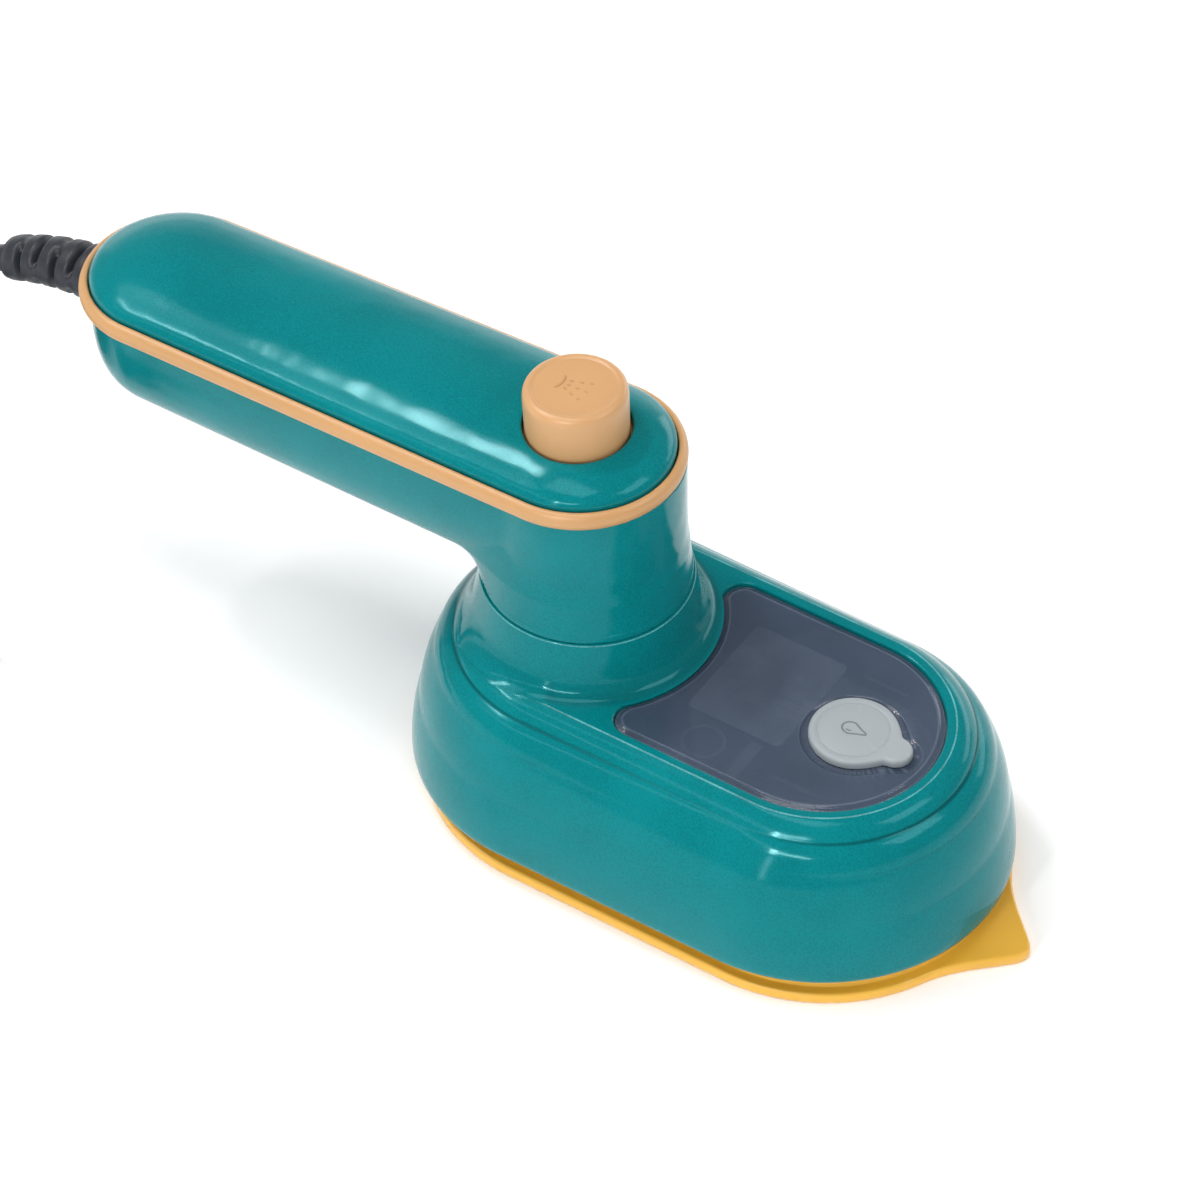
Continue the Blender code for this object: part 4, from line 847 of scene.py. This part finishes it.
def make_soleplate(mats):
    shape = Shape()
    r, tip = 36.8, 101.2
    rings = [nose_loop(r - 0.3, tip - 0.45, 0.0), nose_loop(r - 0.12, tip - 0.18, 0.05),
             nose_loop(r, tip, 0.22), nose_loop(r, tip, 1.75), nose_loop(r - 0.08, tip - 0.12, 2.02),
             nose_loop(r - 0.25, tip - 0.35, 2.22), nose_loop(r - 0.5, tip - 0.7, 2.3),
             nose_loop(r - 1.0, tip - 1.4, 2.32)]
    rows = shape.skin(rings)
    columns = capsule(54.8, 5.7, 34.6, 34.6, arc=192, side=48)
    base = shape.skin([capsule_ring(columns, 0.5, 2.32), capsule_ring(columns, 0.15, 2.45),
                       capsule_ring(columns, 0.0, 2.8), capsule_ring(columns, 0.0, 4.8),
                       capsule_ring(columns, -0.3, 5.15), capsule_ring(columns, -1.5, 5.2)])
    shape.bridge([rows[-1], base[0]])
    shape.fill(base[-1], [])
    holes = []
    for angle in (16, 48, 80, -16, -48, -80):
        a = math.radians(angle)
        u, y = FRONT_U + 22 * math.cos(a), 22 * math.sin(a)
        hole = turned(shape, [(1.7, 0.0), (1.35, 0.22), (1.2, 0.5), (1.2, 3.6)], u, y, 32)
        shape.fan(hole[-1], (u, y, 3.6))
        holes.append(hole[0])
    shape.fill(rows[0], holes)
    return build("soleplate_coated", shape, "head", [mats["sole_gold"]], ("soleplate",), sharp=45.0)


# ------------------------------------------------------------------ handle
def grip_z(u):
    """Fall of the handle's top faces towards the tail."""
    return SLOPE * u


def make_trim(mats):
    shape = Shape()
    columns = capsule(GRIP_FRONT_U, GRIP_TAIL_U, GRIP_FRONT_R, GRIP_TAIL_R, arc=72, side=72)
    profile = [(0.25, -2.4), (0.25, -0.5), (0.3, -0.25), (0.45, -0.08), (0.7, 0.0), (1.0, -0.06), (1.3, -0.22),
               (1.6, -0.5), (1.85, -0.9), (2.03, -1.4), (2.12, -1.95), (2.1, -2.5), (1.98, -3.0),
               (1.75, -3.4), (1.4, -3.65), (1.0, -3.75), (-0.6, -3.75)]
    rings = []
    for grow, drop in profile:
        ring = capsule_ring(columns, grow, 0.0)
        ring[:, 2] = TRIM_TOP + drop + grip_z(ring[:, 0])
        rings.append(ring)
    shape.skin(rings)
    return build("handle_trim_bead", shape, "handle", [mats["trim_tan"]], ("handle_trim_ring",),
                 sharp=60.0)


def crown_rise(inset):
    """Height of the crowned top at a share in from its edge."""
    return CROWN_H * (1 - (1 - np.clip(inset, 0, 1)) ** CROWN_POWER) ** (1 / CROWN_POWER)


def make_upper_shell(mats):
    shape = Shape()
    columns = capsule(GRIP_FRONT_U, GRIP_TAIL_U, GRIP_FRONT_R, GRIP_TAIL_R, arc=72, side=72)
    middle, nx, ny, radius, _ = columns
    insets = [0.0, 0.001, 0.004, 0.010, 0.02, 0.035, 0.055, 0.08, 0.11, 0.145, 0.185, 0.23, 0.28, 0.33, 0.38]
    rings = [np.column_stack([middle + nx * radius, ny * radius, TRIM_TOP - 2.6 + grip_z(middle + nx * radius)])]
    for inset in insets:
        reach = radius * (1 - inset)
        u = middle + nx * reach
        rings.append(np.column_stack([u, ny * reach, TRIM_TOP + 0.25 + crown_rise(inset) + grip_z(u)]))
    outside = rings[-1]
    turns = [math.atan2(y, u - BUTTON_U) for u, y, _ in outside]
    hole_r, steps = 10.6, 30

    def mouth(radius, drop=0.0):
        spots = [(BUTTON_U + radius * math.cos(a), radius * math.sin(a)) for a in turns]
        return np.array([(u, y, crown_top(u, y) - drop) for u, y in spots])

    inside = mouth(hole_r + 0.5)
    for k in range(1, steps):
        ring = outside + (inside - outside) * k / steps
        ring[:, 2] = [crown_top(u, y) for u, y, _ in ring]
        rings.append(ring)
    rings += [inside, mouth(hole_r + 0.2, 0.06), mouth(hole_r + 0.04, 0.22), mouth(hole_r, 0.45), mouth(hole_r, 3.0)]
    shape.skin(rings)
    return build("handle_crown", shape, "handle", [mats["handle_teal"]], ("handle_upper_shell",),
                 sharp=50.0)


def crown_top(u, y):
    m = min(max(u, GRIP_TAIL_U), GRIP_FRONT_U)
    share = (GRIP_FRONT_U - m) / (GRIP_FRONT_U - GRIP_TAIL_U)
    radius = GRIP_FRONT_R + (GRIP_TAIL_R - GRIP_FRONT_R) * share
    return TRIM_TOP + 0.25 + float(crown_rise(1 - math.hypot(u - m, y) / radius)) + grip_z(u)


def make_button(mats):
    shape = Shape()
    profile = [(11.35, 83.7), (11.35, 84.8), (10.02, 85.0), (10.05, 88.0), (10.1, 92.0), (10.15, 95.6), (10.11, 96.2),
               (9.97, 96.75), (9.7, 97.22), (9.3, 97.55), (8.9, 97.68), (8.55, 97.66), (8.3, 97.54),
               (8.15, 97.42), (7.95, 97.38), (7.65, 97.4), (5.0, 97.3), (2.5, 97.26)]
    rows = turned(shape, profile, BUTTON_U, count=128)
    shape.fan(rows[-1], (BUTTON_U, 0.0, 97.25))
    arc = [(BUTTON_U - 3.9 + 1.0 * math.cos(a), 3.2 * math.sin(a) * 0.62) for a in np.linspace(-1.2, 1.2, 15)]
    strip(shape, arc, 0.55, 97.35, 0.08, slot=1)
    for row in range(3):
        for k in range(3):
            fan_y = (k - 1) * (1.1 + 0.62 * row)
            start = -1.8 + 1.9 * row - 0.2 * (k - 1) ** 2
            slant = (k - 1) * 0.28
            dash = [(BUTTON_U + start + 0.22 * t, fan_y + slant * 0.22 * t) for t in range(5)]
            strip(shape, dash, 0.42, 97.32, 0.08, slot=1)
    lean = math.tan(math.radians(2.6))
    shape.points = [(u - lean * (z - 86.0), y, z + lean * (u - BUTTON_U)) for u, y, z in shape.points]
    return build("steam_button_cap", shape, "button", [mats["button_tan"], mats["engraved_tan"]],
                 ("steam_button",), sharp=60.0)


def smooth_min(a, b, k):
    h = np.clip(0.5 + 0.5 * (b - a) / k, 0, 1)
    return b + (a - b) * h - k * h * (1 - h)


def smooth_max(a, b, k):
    return -smooth_min(-a, -b, k)


SCREWS_U = (-30.0, -60.0, -90.0)
NECK = [(50.0, 20.5), (52.0, 20.42), (55.0, 20.1), (58.0, 19.72), (62.0, 19.36), (68.0, 19.16), (90.0, 19.0)]


def grip_outer(u, y, z):
    """Signed distance, near enough, to the outside of the lower handle half."""
    middle = np.clip(u, GRIP_TAIL_U, GRIP_FRONT_U)
    share = (GRIP_FRONT_U - middle) / (GRIP_FRONT_U - GRIP_TAIL_U)
    radius = GRIP_FRONT_R + (GRIP_TAIL_R - GRIP_FRONT_R) * share
    top = TRIM_TOP - TRIM_H + SLOPE * u
    out = np.hypot(u - middle, y) / radius
    down = np.clip((top - z) / (top - 54.2 - 0.3 * SLOPE * u), 0, None)
    body = ((out ** 3.4 + down ** 3.4) ** (1 / 3.4) - 1) * radius
    heights, radii = np.array(NECK).T
    neck = np.hypot(u, y) - np.interp(z, heights, radii)
    blend = 0.5 + 5.5 * np.clip((67.0 - z) / 8.0, 0, 1)
    solid = smooth_min(body, neck, blend)
    return smooth_max(solid, 51.3 - z, 0.35)


def grip_field(u, y, z):
    """Lower handle half: a shell with screw wells underneath and the cord's hole in the tail."""
    outer = grip_outer(u, y, z)
    hollow = np.maximum(outer, -(outer + 2.0))
    for spot in SCREWS_U:
        well = np.hypot(u - spot, y)
        post = np.maximum(np.maximum(well - 5.2, z - 63.5), 54.6 - z)
        hollow = smooth_min(hollow, post, 0.5)
        hollow = smooth_max(hollow, 3.4 - well, 0.7)
    cord_way = 5.95 - np.hypot(y, z - 69.9)
    cord_way = np.where(u < -104, cord_way, -5.0)
    hollow = smooth_max(hollow, cord_way, 0.5)
    return np.maximum(hollow, z - (TRIM_TOP - TRIM_H + 0.6 + SLOPE * u))


CORNERS = list(itertools.product((0, 1), repeat=3))


def surface_net(field, low, high, step):
    """Quads over the zero surface of a field, each point then slid onto the surface."""
    axes = [np.arange(a, b + step, step) for a, b in zip(low, high)]
    values = field(*np.meshgrid(*axes, indexing="ij"))
    size = np.array(values.shape)
    parts = [values[i:size[0] - 1 + i, j:size[1] - 1 + j, k:size[2] - 1 + k] for i, j, k in CORNERS]
    below = sum((part < 0).astype(int) for part in parts)
    mixed = (below > 0) & (below < 8)
    cells = np.argwhere(mixed)
    index = np.full(mixed.shape, -1)
    index[mixed] = np.arange(len(cells))
    total = np.zeros((len(cells), 3))
    crossings = np.zeros(len(cells))
    at = [part[mixed] for part in parts]
    for a, b in itertools.combinations(range(8), 2):
        pa, pb = np.array(CORNERS[a]), np.array(CORNERS[b])
        if np.abs(pa - pb).sum() != 1:
            continue
        cross = (at[a] < 0) != (at[b] < 0)
        share = at[a] / np.where(cross, at[a] - at[b], 1.0)
        total[cross] += (pa + share[:, None] * (pb - pa))[cross]
        crossings += cross
    points = (cells + total / crossings[:, None]) * step + np.array(low)
    quads = []
    for axis in range(3):
        first = np.take(values, range(size[axis] - 1), axis)
        second = np.take(values, range(1, size[axis]), axis)
        change = (first < 0) != (second < 0)
        other = [d for d in range(3) if d != axis]
        for spot in np.argwhere(change):
            if any(spot[d] == 0 or spot[d] >= size[d] - 1 for d in other):
                continue
            ring = []
            for da, db in ((1, 1), (0, 1), (0, 0), (1, 0)):
                cell = spot.copy()
                cell[other[0]] -= da
                cell[other[1]] -= db
                ring.append(index[tuple(cell)])
            flip = (first[tuple(spot)] < 0) == (axis == 1)
            quads.append(ring[::-1] if flip else ring)
    h = 0.04
    for _ in range(4):
        slope = field_slope(field, points, h)
        value = field(*points.T)
        move = slope * (value / np.maximum((slope ** 2).sum(1), 0.05))[:, None]
        reach = np.sqrt((move ** 2).sum(1))[:, None]
        points = points - move * np.minimum(1.0, 0.6 * step / np.maximum(reach, 1e-9))
    return points, quads, field_slope(field, points, h)


def field_slope(field, points, h):
    columns = []
    for axis in range(3):
        shift = np.zeros(3)
        shift[axis] = h
        columns.append((field(*(points + shift).T) - field(*(points - shift).T)) / (2 * h))
    return np.column_stack(columns)


def make_lower_shell(mats):
    points, quads, normals = surface_net(grip_field, (-114.6, -22.0, 49.6), (22.4, 22.0, 82.0), 0.8)
    mesh = bpy.data.meshes.new("handle_lower_moulding")
    placed = (points + np.array([AXIS, 0.0, 0.0])) * MM
    mesh.from_pydata(placed.tolist(), [], [[int(i) for i in quad] for quad in quads])
    mesh.validate()
    mesh.shade_smooth()
    lengths = np.sqrt((normals ** 2).sum(1))[:, None]
    mesh.normals_split_custom_set_from_vertices((normals / np.maximum(lengths, 1e-9)).tolist())
    return place("handle_lower_moulding", mesh, "handle", [mats["handle_teal"]],
                 ("handle_lower_shell",))


def make_neck_skirt(mats):
    """Plain turned foot of the neck, where it meets the collar."""
    shape = Shape()
    profile = [(17.2, 52.6), (20.33, 52.6), (20.43, 52.3), (20.48, 51.6), (20.51, 51.1), (20.50, 50.95),
               (20.44, 50.82), (20.32, 50.74), (20.1, 50.72), (17.2, 50.72)]
    rows = turned(shape, profile, count=180)
    shape.bridge([rows[-1], rows[0]])
    return build("neck_skirt", shape, "handle", [mats["shell_teal"]], sharp=60.0)


# ------------------------------------------------------------------ studio
def make_floor():
    mesh = bpy.data.meshes.new("studio_floor")
    side = 3.0
    mesh.from_pydata([(-side, -side, -0.0002), (side, -side, -0.0002), (side, side, -0.0002), (-side, side, -0.0002)],
                     [], [(0, 1, 2, 3)])
    obj = bpy.data.objects.new("studio_floor", mesh)
    bpy.context.scene.collection.objects.link(obj)
    glow = {"Specular IOR Level": 0.0, "Emission Color": (1.0, 1.0, 1.0, 1.0), "Emission Strength": 0.16}
    mesh.materials.append(procedural("paper_white", (0.95, 0.95, 0.95), (0.96, 0.96, 0.96), 0.9, mottle=0.005,
                                     mottle_scale=3.0, edge_wear_and_highlight=0.0, sockets=glow))


LIT_CENTRE = (0.01, 0.0, 0.05)
WHITE, GLINT = (1.0, 1.0, 1.0), (1.0, 0.84, 0.82)
# name, azimuth and elevation in degrees, width and height in metres, radiance, what it lights
STUDIO = [
    ("window_box_1", -160, 52, 0.95, 0.40, 2.2, "all"),
    ("window_box_2", -160, 52, 0.75, 0.28, 2.2, "all"),
    ("window_box_3", -160, 52, 0.55, 0.16, 2.2, "all"),
    ("window_rim", 178, 62, 0.26, 0.03, 190.0, "matt"),
    ("rim_glint", 178, 62, 0.26, 0.025, 230.0, "gloss"),
    ("top_box", -100, 78, 0.8, 0.5, 4.0, "all"),
    ("front_box", 12, 46, 0.7, 0.45, 4.5, "all"),
    ("near_panel", -87, 16, 0.12, 0.60, 34.0, "matt"),
    ("corner_glint", -88, 29, 0.05, 0.20, 110.0, "gloss"),
    ("corner_streak", -88, 10, 0.06, 0.45, 10.0, "gloss"),
    ("near_strip", -115, 36, 1.5, 0.08, 3.5, "gloss"),
    ("foot_glint_near", -76, 30, 0.45, 0.10, 28.0, "gloss"),
    ("foot_glint_tail", -152, 46, 0.45, 0.10, 28.0, "gloss"),
    ("far_box", 75, 14, 1.0, 0.35, 2.5, "all"),
    ("back_low", 113, 4, 2.4, 0.30, 0.45, "all"),
    ("back_mid", 113, 6, 2.4, 0.55, 0.40, "all"),
    ("back_high", 113, 8, 2.4, 0.85, 0.35, "all"),
]


def softbox(name, spot, target, width, height, power, lights):
    data = bpy.data.lights.new(name, "AREA")
    data.shape = "RECTANGLE"
    data.size = width
    data.size_y = height
    data.energy = power
    data.color = GLINT if lights == "gloss" else WHITE
    obj = bpy.data.objects.new(name, data)
    obj.visible_diffuse = lights != "gloss"
    obj.visible_glossy = lights != "matt"
    obj.location = spot
    obj.rotation_euler = (Vector(target) - Vector(spot)).to_track_quat("-Z", "Y").to_euler()
    bpy.context.scene.collection.objects.link(obj)


def make_studio():
    """Dim room, one big window box to the left, smaller boxes round the front, and small glints."""
    make_floor()
    world = bpy.data.worlds.new("studio_grey")
    world.use_nodes = True
    world.node_tree.nodes["Background"].inputs["Color"].default_value = (1.0, 1.0, 1.0, 1.0)
    world.node_tree.nodes["Background"].inputs["Strength"].default_value = 0.38
    bpy.context.scene.world = world
    bpy.context.scene.view_settings.view_transform = "Standard"
    for name, azimuth, elevation, width, height, radiance, lights in STUDIO:
        a, e = math.radians(azimuth), math.radians(elevation)
        spot = Vector((math.cos(a) * math.cos(e), math.sin(a) * math.cos(e), math.sin(e))) * 1.4
        power = radiance * width * height * math.pi
        softbox(name, spot + Vector(LIT_CENTRE), LIT_CENTRE, width, height, power, lights)


# ------------------------------------------------------------------ everything
make_camera()
finishes = make_materials()
dress_cad_nodes(finishes)
power_lead, lead_exit, lead_length = make_cord(finishes)
boot = make_strain_relief(finishes)
mains_plug, mains_pins = make_mains_plug(finishes)
tie = make_cord_tie(finishes)
make_head_shell(finishes)
make_window(finishes)
make_fill_plug(finishes)
make_tank_detail(finishes)
make_soleplate(finishes)
make_trim(finishes)
make_upper_shell(finishes)
make_lower_shell(finishes)
make_neck_skirt(finishes)
make_button(finishes)
make_studio()
